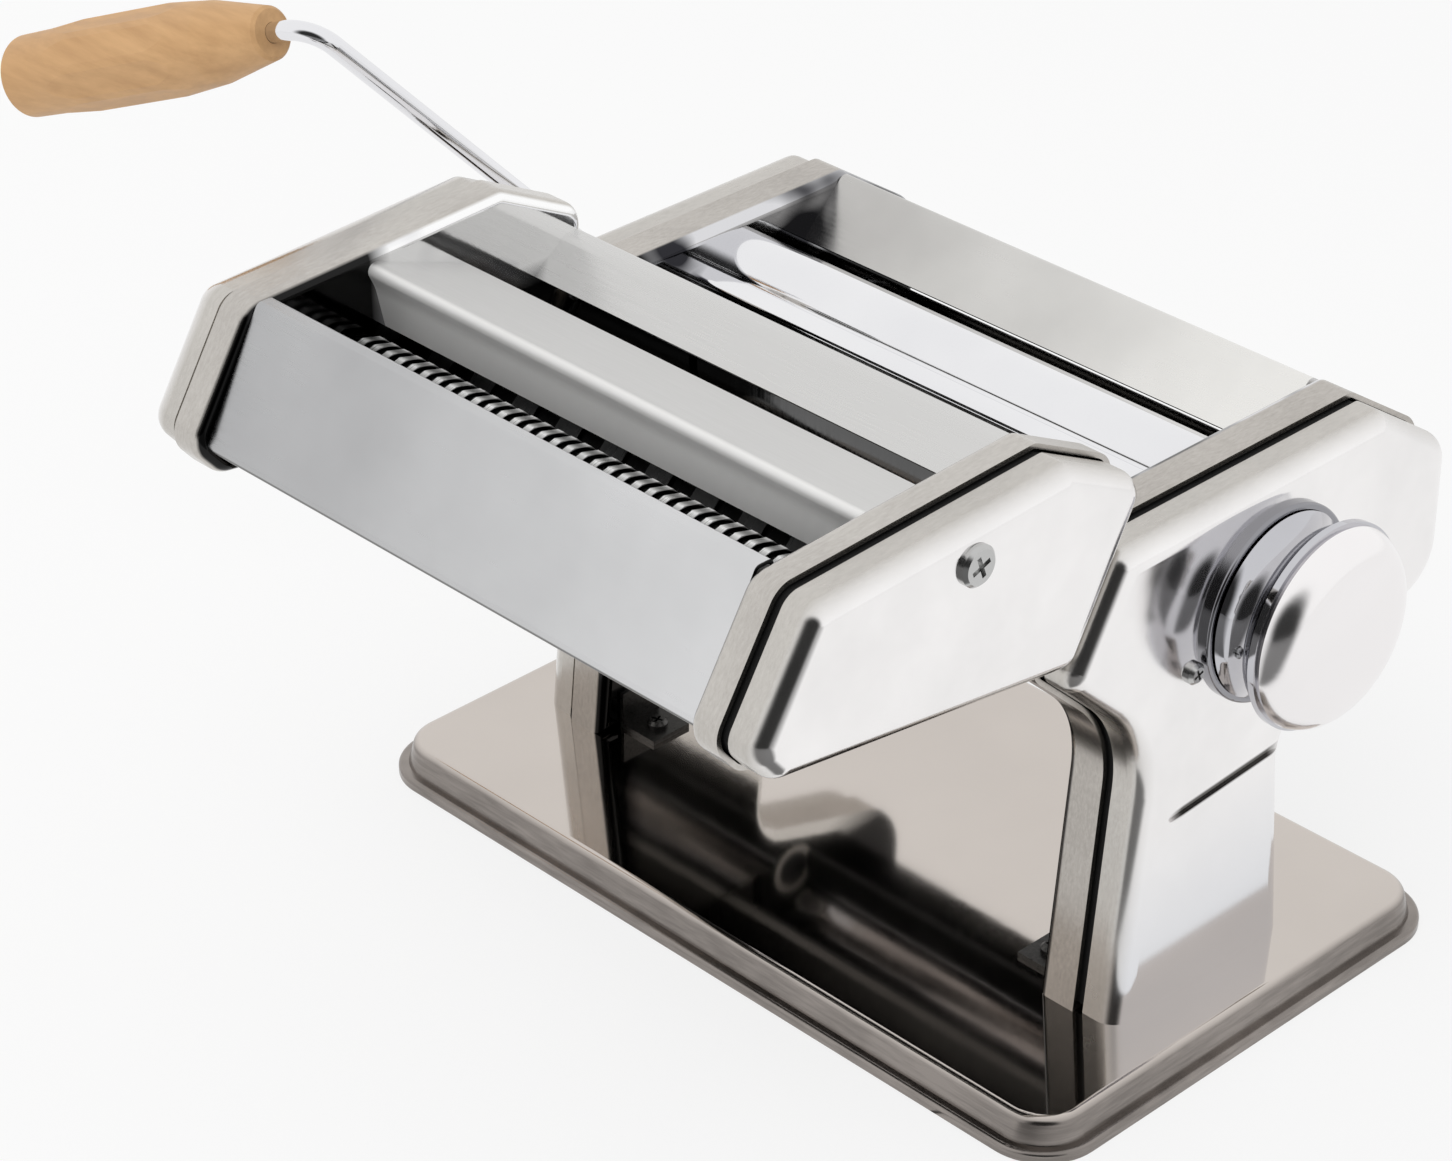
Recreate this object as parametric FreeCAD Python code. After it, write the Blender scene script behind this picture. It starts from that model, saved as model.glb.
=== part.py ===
"""Pasta roller machine with a double cutter unit and a hand crank.

Millimetres, +X towards the thickness knob, +Y to the back, +Z up. While the pieces are made, the origin
is the middle of the base at table level. The finished pieces are moved so that it is on the resting face,
at the middle of the base's front rim.
"""
import FreeCAD, Part
import math
import os

# ---- clearances
RUN_FIT = 0.06            # radial, a shaft in its bush
SEAT_FIT = 0.05           # a fixed piece in its hole
SLIDE_FIT = 0.15          # a block in its guide
SIDE_PLAY = 0.35          # between a turning piece and what stands beside it

# ---- main frame
INNER_WIDTH = 145.0       # between the two side frames
FRAME_SHEET = 1.2
FRAME_FLANGE = 10.7
FRAME_BEND = 2.8
SEAM_GAP = 1.8            # the dark joint between a frame and its cover
COVER_SHEET = 1.4
COVER_DEPTH = 9.5
COVER_EDGE = 5.5
COVER_STEP = 1.3          # the covers stand this far inside the frames' outline
LIP_SHEET = 0.9
LIP_REACH = 3.0
LIP_STEP = 0.7            # the lip stands this far inside its cover
CREASE = ((-13.0, 59.0), (24.0, 61.5))    # the pressed groove on each leg, y and z of its ends
CREASE_WIDTH = 2.0
CREASE_DEPTH = 0.6

# ---- base
BASE_LENGTH = 224.0
BASE_DEPTH = 139.2
BASE_HEIGHT = 9.0
BASE_SHEET = 1.2
BASE_CORNER = 15.0
BASE_LIP_HEIGHT = 2.6
BASE_LIP_WIDTH = 2.2
BASE_DRAFT = 2.0
BASE_SHOULDER = 2.2
BASE_HEM = 6.0

# ---- side outline, y and z
ROLLER_HEIGHT = 102.0     # the head and the cutter unit are set out from the rollers' axis
LEG_MIDDLE = 1.2
FOOT_HALF = 30.7
NECK_FRONT = (-22.2, ROLLER_HEIGHT - 20.8)
NECK_FRONT_ROUND = 28.0
NECK_REAR = (26.5, ROLLER_HEIGHT - 36.0)
NECK_REAR_ROUND = 12.0
HEAD_TOP = ROLLER_HEIGHT + 32.9
HEAD_REAR = 80.0
HEAD_REAR_LOW = ROLLER_HEIGHT - 20.0
HEAD_REAR_LOW_ROUND = 15.0
HEAD_REAR_HIGH = ROLLER_HEIGHT + 16.0
HEAD_REAR_HIGH_ROUND = 9.0
TOP_REAR = 54.6
TOP_REAR_ROUND = 4.0
CHIN_HEIGHT = ROLLER_HEIGHT + 4.3
CHIN_ROUND = 6.0
DOCK_TOP = -33.5          # where the docking edge meets the top of the head
DOCK_LEAN = 29.2          # degrees from upright, the way the cutter unit lifts off
DOCK_GAP = 0.8

# ---- rollers
ROLLER_RADIUS = 13.0
ROLLER_END_PLAY = 0.6
JOURNAL_RADIUS = 6.0
BUSH_WALL = 2.0
BUSH_LENGTH = 5.0
SHEET_MIN = 0.5           # gap between the rollers at the thinnest setting
KNOB_Y = 16.8
ECCENTRICITY = 1.25       # the front roller moves twice this

# ---- roller carriage
BLOCK_WIDTH = 16.0
BLOCK_THICK = 5.0
BLOCK_ABOVE = 10.0
BLOCK_BELOW = 24.0
YOKE_THICK = 4.0
ECCENTRIC_RADIUS = 5.0
YOKE_PLAY = 0.32
BAR_THICK = 3.0
BAR_HEIGHT = 9.0
SCRAPER_THICK = 2.0
SCRAPER_HEIGHT = 10.0
SCRAPER_GAP = 0.3

# ---- roller gears
ROLLER_TEETH = 14
PINION_TEETH = 8
TOOTH_HALF_DEPTH = 2.05   # above and below the pitch circle
ROOT_CLEARANCE = 0.5
GEAR_FACE = 6.0
PINION_ANGLE = -106.6     # from the rear roller's axis, in the side view
GEAR_BACKLASH = 0.2
SOCKET_RADIUS = 6.5
SOCKET_SUNK = 0.3         # below the side cover's face
DRIVE_RADIUS = 5.0
KEY_PLAY = 0.1

# ---- hopper and hood
HOPPER_SHEET = 1.2
HOPPER_LIP = (40.0, ROLLER_HEIGHT + 19.8)
HOPPER_TOP = (53.5, ROLLER_HEIGHT + 33.0)
HOPPER_REAR_INSET = 3.0
HOPPER_SKIRT = ROLLER_HEIGHT - 4.0
HOOD_SHEET = 1.2
HOOD_REAR = (29.5, ROLLER_HEIGHT + 25.6)
HOOD_CROWN = (16.0, ROLLER_HEIGHT + 27.2)
HOOD_FRONT = (4.0, ROLLER_HEIGHT + 24.2)
HOOD_LEDGE = (1.2, ROLLER_HEIGHT + 19.5)
HOOD_SKIRT = ROLLER_HEIGHT + 6.0
TIE_RADIUS = 3.5
TIE_STUB_RADIUS = 2.0
TIE_PLACES = ((-28.0, ROLLER_HEIGHT + 8.0), (66.0, ROLLER_HEIGHT + 10.0))

# ---- cutter unit
CUTTER_INNER_WIDTH = 153.0
CUTTER_FLANGE = 8.2
CUTTER_COVER_DEPTH = 9.3
CUTTER_COVER_EDGE = 5.5
CUTTER_FRONT_TOP = (-125.2, ROLLER_HEIGHT + 59.4)
CUTTER_BACK_TOP = (-52.2, ROLLER_HEIGHT + 62.3)
CUTTER_DOCK_HIGH = ROLLER_HEIGHT + 48.8
CUTTER_DOCK_LOW = ROLLER_HEIGHT + 9.2
CUTTER_BOTTOM_FRONT = (-135.3, ROLLER_HEIGHT + 21.3)
CUTTER_NOSE = (-143.0, ROLLER_HEIGHT + 30.4)
CUTTER_CORNER = 7.0
CUTTER_BACK_CORNER = 4.0
PANEL_SHEET = 1.0
PANEL_FOOT = (-134.0, ROLLER_HEIGHT + 27.2)
PANEL_BOTTOM = (-139.7, ROLLER_HEIGHT + 29.0)
PANEL_TOP = (-122.9, ROLLER_HEIGHT + 59.5)
PANEL_FOLD = (-118.5, ROLLER_HEIGHT + 59.5)
PANEL_GUIDE = (-114.5, ROLLER_HEIGHT + 47.0)
RIDGE_FOOT = (-88.0, ROLLER_HEIGHT + 41.2)
RIDGE_SHOULDER = (-90.3, ROLLER_HEIGHT + 51.5)
RIDGE_TOP = (-94.0, ROLLER_HEIGHT + 59.3)
RIDGE_TAIL = (-64.5, ROLLER_HEIGHT + 48.8)
BACK_LIP = (-43.6, ROLLER_HEIGHT + 37.7)
BACK_TOP = (-34.2, ROLLER_HEIGHT + 45.2)
BACK_FLANGE = 8.0

# ---- cutter shafts
CUTTER_CENTRES = 18.4     # between the two shafts of a pair
RING_RADIUS = 9.6
CORE_RADIUS = 8.7
RING_SIDES = 12
SHEAR_GAP = 0.05          # beside a ring, each side
SHAFT_RADIUS = 4.0
FINE_REAR_AXIS = (-97.0, ROLLER_HEIGHT + 33.0)
WIDE_REAR_AXIS = (-56.0, ROLLER_HEIGHT + 25.5)
FINE_PITCH = 4.2
FINE_COUNT = 36
WIDE_PITCH = 14.2
WIDE_COUNT = 10
COMB_REACH = 12.5
COMB_BAR = 3.0
COMB_GAP = 0.3
FINE_FRONT_COMB = 215.0   # degrees round the shaft, from +Y towards +Z
FINE_REAR_COMB = 325.0
WIDE_FRONT_COMB = 230.0
WIDE_REAR_COMB = 300.0
CUTTER_TEETH = 12
CUTTER_TOOTH = 1.25
CUTTER_GEAR_FACE = 5.0

# ---- docking rails
RAIL_LENGTH = 18.0
RAIL_NECK = 2.4
RAIL_HEAD = 5.0
RAIL_HEAD_THICK = 1.6
RAIL_REACH = 4.4
RAIL_TOP = ROLLER_HEIGHT + 30.0
RAIL_SLOT = 60.0          # the slot runs out through the bottom of the cutter unit

# ---- thickness knob
DIAL_RADIUS = 23.5
DIAL_THICK = 2.0
HUB_RADIUS = 8.0
HUB_REACH = 10.0
ADJUST_RADIUS = 5.0
KNOB_GAP = 0.4
KNOB_FOOT_RADIUS = 22.0
KNOB_WAIST_RADIUS = 20.6
KNOB_RIM_RADIUS = 24.3
KNOB_BARREL = 12.5
KNOB_RIM = 1.6
KNOB_FLOOR = 3.0
KNOB_WALL = 2.0
CAP_RADIUS = 23.6
CAP_FLAT_RADIUS = 15.5
CAP_DOME = 6.5
CAP_PLUG = 3.0
HEX_ACROSS = 7.0
HEX_LENGTH = 6.0          # beyond the knob's floor, room for the knob to be pulled out
NUT_RADIUS = 7.0
NUT_THICK = 2.0

# ---- crank
CRANK_ROD = 2.4           # radius
CRANK_STUB = 11.8         # straight length outside the side cover
CRANK_INSERT = 10.0
CRANK_END = 3.0           # radius of the end in its socket
KEY_WIDTH = 1.8
KEY_ACROSS = 8.4
CRANK_COLLAR = 1.2
ARM_LENGTH = 154.5
ARM_ANGLE = 133.3         # degrees in the side view
ARM_SLANT = 7.0           # degrees outwards
CRANK_BEND = 8.0
GRIP_SPLAY = 24.0         # degrees off the crank's axis
GRIP_SPLAY_ANGLE = 245.0
GRIP_STANDOFF = 12.0
GRIP_LENGTH = 85.6
GRIP_RADIUS = 11.0
GRIP_END_RADIUS = 10.2
GRIP_NECK_RADIUS = 6.4
GRIP_BAND = 12.0
GRIP_TAPER = 18.0
GRIP_FLATS = 8
GRIP_FLAT_DEPTH = 0.5
GRIP_CAP_RADIUS = 6.5
GRIP_CAP_DEPTH = 3.0
BUTTON_STEP = 1.2         # the riveted head that keeps the grip on its rod
BUTTON_THICK = 1.0
BUTTON_PLAY = 0.3

# ---- screws
SCREW_HEAD_RADIUS = 2.6
SCREW_HEAD_THICK = 1.7
SCREW_SHANK_RADIUS = 1.4
SCREW_SHANK = 4.0
COVER_SCREW_HEAD = 4.7
RECESS_SPAN = 1.1         # of the head's radius
RECESS_WIDTH = 0.24
RECESS_FLOOR = 0.35       # of the head's height
RECESS_TURN = 20.0
PILLAR_RADIUS = 3.0
DIAL_SCREW_RADIUS = 26.7
DIAL_SCREW_ANGLES = (195.2, 330.0)
LEFT_SCREWS = ((-6.4, ROLLER_HEIGHT - 8.9), (66.5, ROLLER_HEIGHT - 2.0))
CUTTER_SCREW = (-81.3, ROLLER_HEIGHT + 50.7)
FOOT_TAB_LENGTH = 12.0
FOOT_TAB_REACH = 12.0     # inwards from the side frame
FOOT_TAB_RISE = 10.0
FOOT_TAB_Y = 18.0
FOOT_SCREW_REACH = 7.0

# ---- worked out from the sizes above
HALF = INNER_WIDTH / 2
FRAME_OUT = HALF + FRAME_FLANGE
COVER_IN = FRAME_OUT + SEAM_GAP
COVER_OUT = COVER_IN + COVER_DEPTH
CUTTER_HALF = CUTTER_INNER_WIDTH / 2
PLATE_OUT = CUTTER_HALF + CUTTER_FLANGE
CUTTER_COVER_IN = PLATE_OUT + SEAM_GAP
CUTTER_COVER_OUT = CUTTER_COVER_IN + CUTTER_COVER_DEPTH
FRONT_OPEN_Y = KNOB_Y - ECCENTRICITY
FRONT_CLOSED_Y = KNOB_Y + ECCENTRICITY
REAR_Y = FRONT_CLOSED_Y + 2 * ROLLER_RADIUS + SHEET_MIN
GEAR_PITCH = (REAR_Y - FRONT_CLOSED_Y) / 2
PINION_PITCH = GEAR_PITCH * PINION_TEETH / ROLLER_TEETH
GEAR_IN = HALF + BUSH_LENGTH + SIDE_PLAY
PINION_DISTANCE = GEAR_PITCH + PINION_PITCH + GEAR_BACKLASH
DRIVE_Y = REAR_Y + PINION_DISTANCE * math.cos(math.radians(PINION_ANGLE))
DRIVE_Z = ROLLER_HEIGHT + PINION_DISTANCE * math.sin(math.radians(PINION_ANGLE))
ORIGIN_SHIFT = BASE_DEPTH / 2 - BASE_HEM / 2
FINE_FRONT_AXIS = (FINE_REAR_AXIS[0] - CUTTER_CENTRES, FINE_REAR_AXIS[1])
WIDE_FRONT_AXIS = (WIDE_REAR_AXIS[0] - CUTTER_CENTRES, WIDE_REAR_AXIS[1])


# ------------------------------------------------------------------ outlines
def vector(x, y, z):
    return FreeCAD.Vector(x, y, z)


def rounded_wire(corners, x):
    """A closed wire in the plane at x through corners (y, z, radius)."""
    count = len(corners)
    joints = []
    for i, (y, z, radius) in enumerate(corners):
        here = vector(x, y, z)
        before = vector(x, *corners[i - 1][:2])
        after = vector(x, *corners[(i + 1) % count][:2])
        if radius < 1e-6:
            joints.append((here, None, here))
            continue
        to_before = (before - here).normalize()
        to_after = (after - here).normalize()
        half = to_before.getAngle(to_after) / 2
        run = radius / math.tan(half)
        middle = (to_before + to_after).normalize()
        crown = here + middle * (radius / math.sin(half) - radius)
        joints.append((here + to_before * run, crown, here + to_after * run))
    edges = []
    for i, (start, crown, end) in enumerate(joints):
        if crown is not None:
            edges.append(Part.Arc(start, crown, end).toShape())
        following = joints[(i + 1) % count][0]
        if (following - end).Length > 1e-6:
            edges.append(Part.LineSegment(end, following).toShape())
    return Part.Wire(edges)


def inset(corners, distance):
    """The outline moved inwards by distance, with its corner radii to match. Corners run anticlockwise."""
    count = len(corners)
    moved = []
    for i, (y, z, radius) in enumerate(corners):
        y0, z0 = corners[i - 1][:2]
        y1, z1 = corners[(i + 1) % count][:2]
        a = math.hypot(y - y0, z - z0)
        b = math.hypot(y1 - y, z1 - z)
        ay, az = (y - y0) / a, (z - z0) / a
        by, bz = (y1 - y) / b, (z1 - z) / b
        share = distance / (1 + ay * by + az * bz)
        turn = ay * bz - az * by
        if radius > 0:
            radius = max(radius - distance, 0.0) if turn > 0 else radius + distance
        moved.append((y - (az + bz) * share, z + (ay + by) * share, radius))
    return moved


def prism(corners, x0, x1):
    """The outline pushed from x0 to x1."""
    return Part.Face(rounded_wire(corners, x0)).extrude(vector(x1 - x0, 0, 0))


def fillet_at(solid, x, radius):
    """Round the edges that lie in the plane at x."""
    edges = [e for e in solid.Edges if all(abs(v.X - x) < 1e-6 for v in e.Vertexes)]
    return solid.makeFillet(radius, edges)


def tray(corners, closed_x, open_x, sheet, edge):
    """A shallow pan: a floor at closed_x and a wall round it that ends at open_x."""
    way = 1 if open_x > closed_x else -1
    outer = fillet_at(prism(corners, closed_x, open_x), closed_x, edge)
    floor_x = closed_x + way * sheet
    inner = prism(inset(corners, sheet), floor_x, open_x + way)
    if edge > sheet + 0.3:
        inner = fillet_at(inner, floor_x, edge - sheet)
    return outer.cut(inner)


def rod(radius, x0, x1, y, z):
    """A cylinder along X."""
    return Part.makeCylinder(radius, abs(x1 - x0), vector(min(x0, x1), y, z), vector(1, 0, 0))


def prism_sides(radius, sides, x0, x1, y, z, turn=0.0):
    """A regular prism along X with its corners at radius."""
    points = []
    for i in range(sides):
        angle = math.radians(turn + 360.0 * i / sides)
        points.append(vector(x0, y + radius * math.cos(angle), z + radius * math.sin(angle)))
    face = Part.Face(Part.makePolygon(points + points[:1]))
    return face.extrude(vector(x1 - x0, 0, 0))


def revolve_x(profile, y, z):
    """Turn an (x, radius) outline round the line through y, z."""
    points = [vector(x, 0, r) for x, r in profile]
    face = Part.Face(Part.makePolygon(points + points[:1]))
    solid = face.revolve(vector(0, 0, 0), vector(1, 0, 0), 360)
    solid.translate(vector(0, y, z))
    return solid


def bent_sheet(path, bends, sheet, x0, x1):
    """Sheet metal along an open path in y, z, with its bend radii, its thickness to the path's left."""
    count = len(path)
    left = []
    right = []
    for i, (y, z) in enumerate(path):
        ways = []
        if i > 0:
            ways.append((y - path[i - 1][0], z - path[i - 1][1]))
        if i < count - 1:
            ways.append((path[i + 1][0] - y, path[i + 1][1] - z))
        ways = [(a / math.hypot(a, b), b / math.hypot(a, b)) for a, b in ways]
        if len(ways) == 1:
            (ay, az), = ways
            right.append((y, z, 0.0))
            left.append((y - az * sheet, z + ay * sheet, 0.0))
            continue
        (ay, az), (by, bz) = ways
        share = sheet / (1 + ay * by + az * bz)
        turns_left = ay * bz - az * by > 0
        radius = bends[i - 1]
        outer = radius + sheet
        right.append((y, z, outer if turns_left else radius))
        left.append((y - (az + bz) * share, z + (ay + by) * share, radius if turns_left else outer))
    return prism(right + left[::-1], x0, x1)


def both_sides(piece):
    """The piece and its mirror image across the middle plane."""
    return [piece, piece.mirror(vector(0, 0, 0), vector(1, 0, 0))]


def gear(teeth, pitch_radius, half_depth, x0, x1, y, z, turn):
    """A spur gear with straight-flanked teeth. A tooth points at turn degrees."""
    step = 2 * math.pi / teeth
    tip = pitch_radius + half_depth
    root = pitch_radius - half_depth - ROOT_CLEARANCE
    points = []
    for i in range(teeth):
        middle = math.radians(turn) + i * step
        for radius, share in ((root, -0.34), (pitch_radius, -0.21), (tip, -0.09),
                              (tip, 0.09), (pitch_radius, 0.21), (root, 0.34)):
            angle = middle + share * step
            points.append(vector(x0, y + radius * math.cos(angle), z + radius * math.sin(angle)))
    face = Part.Face(Part.makePolygon(points + points[:1]))
    return face.extrude(vector(x1 - x0, 0, 0))


# ------------------------------------------------------------------ the outlines of the two housings
def dock_y(z, gap=0.0):
    """The docking edge at a height, moved forwards by gap at right angles to it."""
    lean = math.radians(DOCK_LEAN)
    return DOCK_TOP - (HEAD_TOP - z) * math.tan(lean) - gap / math.cos(lean)


def leg_corner(foot_y, neck, drop):
    """The foot of a leg's edge, carried on down by drop below the base's top."""
    slope = (neck[0] - foot_y) / (neck[1] - BASE_HEIGHT)
    return (foot_y - slope * drop, BASE_HEIGHT - drop, 0.0)


def side_outline(drop=0.0):
    """The side frame from the foot round the head."""
    return [
        leg_corner(LEG_MIDDLE - FOOT_HALF, NECK_FRONT, drop),
        leg_corner(LEG_MIDDLE + FOOT_HALF, NECK_REAR, drop),
        (*NECK_REAR, NECK_REAR_ROUND),
        (HEAD_REAR, HEAD_REAR_LOW, HEAD_REAR_LOW_ROUND),
        (HEAD_REAR, HEAD_REAR_HIGH, HEAD_REAR_HIGH_ROUND),
        (TOP_REAR, HEAD_TOP, TOP_REAR_ROUND),
        (DOCK_TOP, HEAD_TOP, CHIN_ROUND),
        (dock_y(CHIN_HEIGHT), CHIN_HEIGHT, CHIN_ROUND),
        (*NECK_FRONT, NECK_FRONT_ROUND),
    ]


def cutter_outline():
    """The cutter unit's end plate, docked edge at the back."""
    return [
        (*CUTTER_BOTTOM_FRONT, CUTTER_CORNER),
        (dock_y(CUTTER_DOCK_LOW, DOCK_GAP), CUTTER_DOCK_LOW, CUTTER_CORNER),
        (dock_y(CUTTER_DOCK_HIGH, DOCK_GAP), CUTTER_DOCK_HIGH, CUTTER_CORNER),
        (*CUTTER_BACK_TOP, CUTTER_BACK_CORNER),
        (*CUTTER_FRONT_TOP, CUTTER_CORNER),
        (*CUTTER_NOSE, CUTTER_CORNER),
    ]


def dial_screw_places():
    places = []
    for angle in DIAL_SCREW_ANGLES:
        turn = math.radians(angle)
        places.append((KNOB_Y + DIAL_SCREW_RADIUS * math.cos(turn),
                       ROLLER_HEIGHT + DIAL_SCREW_RADIUS * math.sin(turn)))
    return places


# ------------------------------------------------------------------ base
def rectangle(length, depth, corner, z):
    """A closed wire round a rectangle with round corners."""
    l, d = length / 2, depth / 2
    edges = []
    centres = [(l - corner, d - corner, 0), (corner - l, d - corner, 90),
               (corner - l, corner - d, 180), (l - corner, corner - d, 270)]
    arcs = []
    for x, y, start in centres:
        circle = Part.Circle(vector(x, y, z), vector(0, 0, 1), corner)
        arcs.append(Part.ArcOfCircle(circle, math.radians(start), math.radians(start + 90)).toShape())
    for i, arc in enumerate(arcs):
        edges.append(arc)
        following = arcs[(i + 1) % 4]
        edges.append(Part.LineSegment(arc.Vertexes[-1].Point, following.Vertexes[0].Point).toShape())
    return Part.Wire(edges)


def slab(shrink_low, shrink_high, z0, z1):
    """A slab of the base's outline, moved in by the given amounts at its bottom and top."""
    wires = []
    for shrink, z in ((shrink_low, z0), (shrink_high, z1)):
        wires.append(rectangle(BASE_LENGTH - 2 * shrink, BASE_DEPTH - 2 * shrink, BASE_CORNER - shrink, z))
    return Part.makeLoft(wires, True, True)


def round_top(solid, z, radius):
    edges = [e for e in solid.Edges if all(abs(v.Z - z) < 1e-6 for v in e.Vertexes)]
    return solid.makeFillet(radius, edges)


def base_plate():
    """A pressed pan with a stepped rim, open below, its lower edge folded in."""
    inner_rim = BASE_LIP_WIDTH
    deck = BASE_LIP_WIDTH + BASE_DRAFT
    lip = round_top(slab(0, 0, 0, BASE_LIP_HEIGHT), BASE_LIP_HEIGHT, BASE_LIP_WIDTH * 0.5)
    body = slab(inner_rim, deck, BASE_LIP_HEIGHT / 2, BASE_HEIGHT)
    body = round_top(body, BASE_HEIGHT, BASE_SHOULDER)
    outer = lip.fuse(body)
    hollow = slab(inner_rim + BASE_SHEET, deck + BASE_SHEET, BASE_SHEET, BASE_HEIGHT - BASE_SHEET)
    mouth = slab(BASE_HEM, BASE_HEM, -1, BASE_SHEET + 0.1)
    return outer.cut(hollow).cut(mouth).removeSplitter()


# ------------------------------------------------------------------ side frames and covers
def block_window(side):
    """The hole in a side frame that guides the roller carriage."""
    y0 = FRONT_OPEN_Y - BLOCK_WIDTH / 2 - SLIDE_FIT
    y1 = FRONT_CLOSED_Y + BLOCK_WIDTH / 2 + SLIDE_FIT
    z0 = ROLLER_HEIGHT - BLOCK_BELOW - SLIDE_FIT
    z1 = ROLLER_HEIGHT + BLOCK_ABOVE + SLIDE_FIT
    box = Part.makeBox(4, y1 - y0, z1 - z0, vector(HALF - 1, y0, z0))
    return box if side > 0 else box.mirror(vector(0, 0, 0), vector(1, 0, 0))


def foot_tabs():
    """Angle brackets that hold the side frames down on the base."""
    low, high = BASE_HEIGHT, BASE_HEIGHT + FOOT_TAB_RISE
    inner = HALF - FRAME_SHEET
    section = [(HALF - FOOT_TAB_REACH, low), (HALF, low), (HALF, high), (inner, high),
               (inner, low + FRAME_SHEET), (HALF - FOOT_TAB_REACH, low + FRAME_SHEET)]
    tabs = []
    for y in (-FOOT_TAB_Y, FOOT_TAB_Y):
        start = LEG_MIDDLE + y - FOOT_TAB_LENGTH / 2
        points = [vector(x, start, z) for x, z in section]
        tab = Part.Face(Part.makePolygon(points + points[:1])).extrude(vector(0, FOOT_TAB_LENGTH, 0))
        screw = vector(HALF - FOOT_SCREW_REACH, LEG_MIDDLE + y, low - 1)
        hole = Part.makeCylinder(SCREW_SHANK_RADIUS + SEAT_FIT, FRAME_SHEET + 2, screw)
        tabs += both_sides(tab.cut(hole))
    return tabs


def side_frame(side):
    """A pressed frame: leg and head in one outline, flanged outwards, with screw pillars."""
    frame = tray(side_outline(), HALF, FRAME_OUT, FRAME_SHEET, FRAME_BEND)
    places = dial_screw_places() if side > 0 else LEFT_SCREWS
    pillars = [rod(PILLAR_RADIUS, HALF + FRAME_SHEET / 2, COVER_OUT - COVER_SHEET, y, z) for y, z in places]
    frame = frame.multiFuse(pillars)
    holes = [rod(TIE_STUB_RADIUS + SEAT_FIT, HALF - 1, HALF + 3, y, z) for y, z in TIE_PLACES]
    holes.append(rod(JOURNAL_RADIUS + BUSH_WALL + SEAT_FIT, HALF - 1, HALF + 3, REAR_Y, ROLLER_HEIGHT))
    for y, z in places:
        holes.append(rod(SCREW_SHANK_RADIUS, COVER_OUT - SCREW_SHANK - 0.5, COVER_OUT, y, z))
    if side < 0:
        holes.append(rod(DRIVE_RADIUS + BUSH_WALL + SEAT_FIT, HALF - 1, HALF + 3, DRIVE_Y, DRIVE_Z))
    frame = frame.cut(Part.makeCompound(holes))
    if side < 0:
        frame = frame.mirror(vector(0, 0, 0), vector(1, 0, 0))
    return frame.cut(block_window(side))


def lipped_cover(outline, inside_x, outside_x, edge):
    """A pan that closes a flanged frame, a step smaller than it, with a lip that slips inside the flange."""
    pan = tray(inset(outline, COVER_STEP), outside_x, inside_x, COVER_SHEET, edge)
    outer = inset(outline, COVER_STEP + LIP_STEP)
    inner = inset(outline, COVER_STEP + LIP_STEP + LIP_SHEET)
    lip_start = inside_x - SEAM_GAP - LIP_REACH
    lip = prism(outer, lip_start, inside_x + COVER_SHEET).cut(prism(inner, lip_start - 1, inside_x + 3))
    return pan.fuse(lip).removeSplitter()


def leg_crease():
    """The tool that presses the groove on a leg, rounded at both ends."""
    ends = [vector(COVER_OUT - CREASE_DEPTH, *end) for end in CREASE]
    run = (ends[1] - ends[0]).normalize()
    across = vector(0, -run.z, run.y) * (CREASE_WIDTH / 2)
    corners = [ends[0] - across, ends[1] - across, ends[1] + across, ends[0] + across]
    bar = Part.Face(Part.makePolygon(corners + corners[:1])).extrude(vector(2 * CREASE_DEPTH, 0, 0))
    caps = [Part.makeCylinder(CREASE_WIDTH / 2, 2 * CREASE_DEPTH, end, vector(1, 0, 0)) for end in ends]
    return bar.multiFuse(caps)


def side_cover(side):
    """The polished outer shell of a side."""
    below = 2 * COVER_EDGE
    cover = lipped_cover(side_outline(below), COVER_IN, COVER_OUT, COVER_EDGE)
    places = dial_screw_places() if side > 0 else LEFT_SCREWS
    corner = vector(HALF, -BASE_DEPTH / 2, BASE_HEIGHT - below - 1)
    underside = Part.makeBox(COVER_OUT, BASE_DEPTH, below + 1, corner)
    clear = below + 1 + FRAME_SHEET + SIDE_PLAY
    above_flange = Part.makeBox(COVER_IN - HALF, BASE_DEPTH, clear, corner)
    holes = [underside, above_flange, leg_crease()]
    holes += [rod(SCREW_SHANK_RADIUS + SEAT_FIT, COVER_OUT - 3, COVER_OUT + 1, y, z) for y, z in places]
    if side > 0:
        holes.append(rod(HUB_RADIUS + SEAT_FIT, COVER_OUT - 3, COVER_OUT + 1, KNOB_Y, ROLLER_HEIGHT))
    else:
        holes.append(rod(SOCKET_RADIUS + SIDE_PLAY, COVER_OUT - 3, COVER_OUT + 1, DRIVE_Y, DRIVE_Z))
        pinion_room = PINION_PITCH + TOOTH_HALF_DEPTH + 2 * SIDE_PLAY
        holes.append(rod(pinion_room, HALF, GEAR_IN + GEAR_FACE + SIDE_PLAY, DRIVE_Y, DRIVE_Z))
    cover = cover.cut(Part.makeCompound(holes))
    return cover if side > 0 else cover.mirror(vector(0, 0, 0), vector(1, 0, 0))


def tie_rods():
    """Spacer rods between the side frames, with stubs riveted into them."""
    rods = []
    for y, z in TIE_PLACES:
        body = rod(TIE_RADIUS, -HALF, HALF, y, z)
        stub = rod(TIE_STUB_RADIUS, -HALF - FRAME_SHEET, HALF + FRAME_SHEET, y, z)
        rods.append(body.fuse(stub))
    return rods


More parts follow.
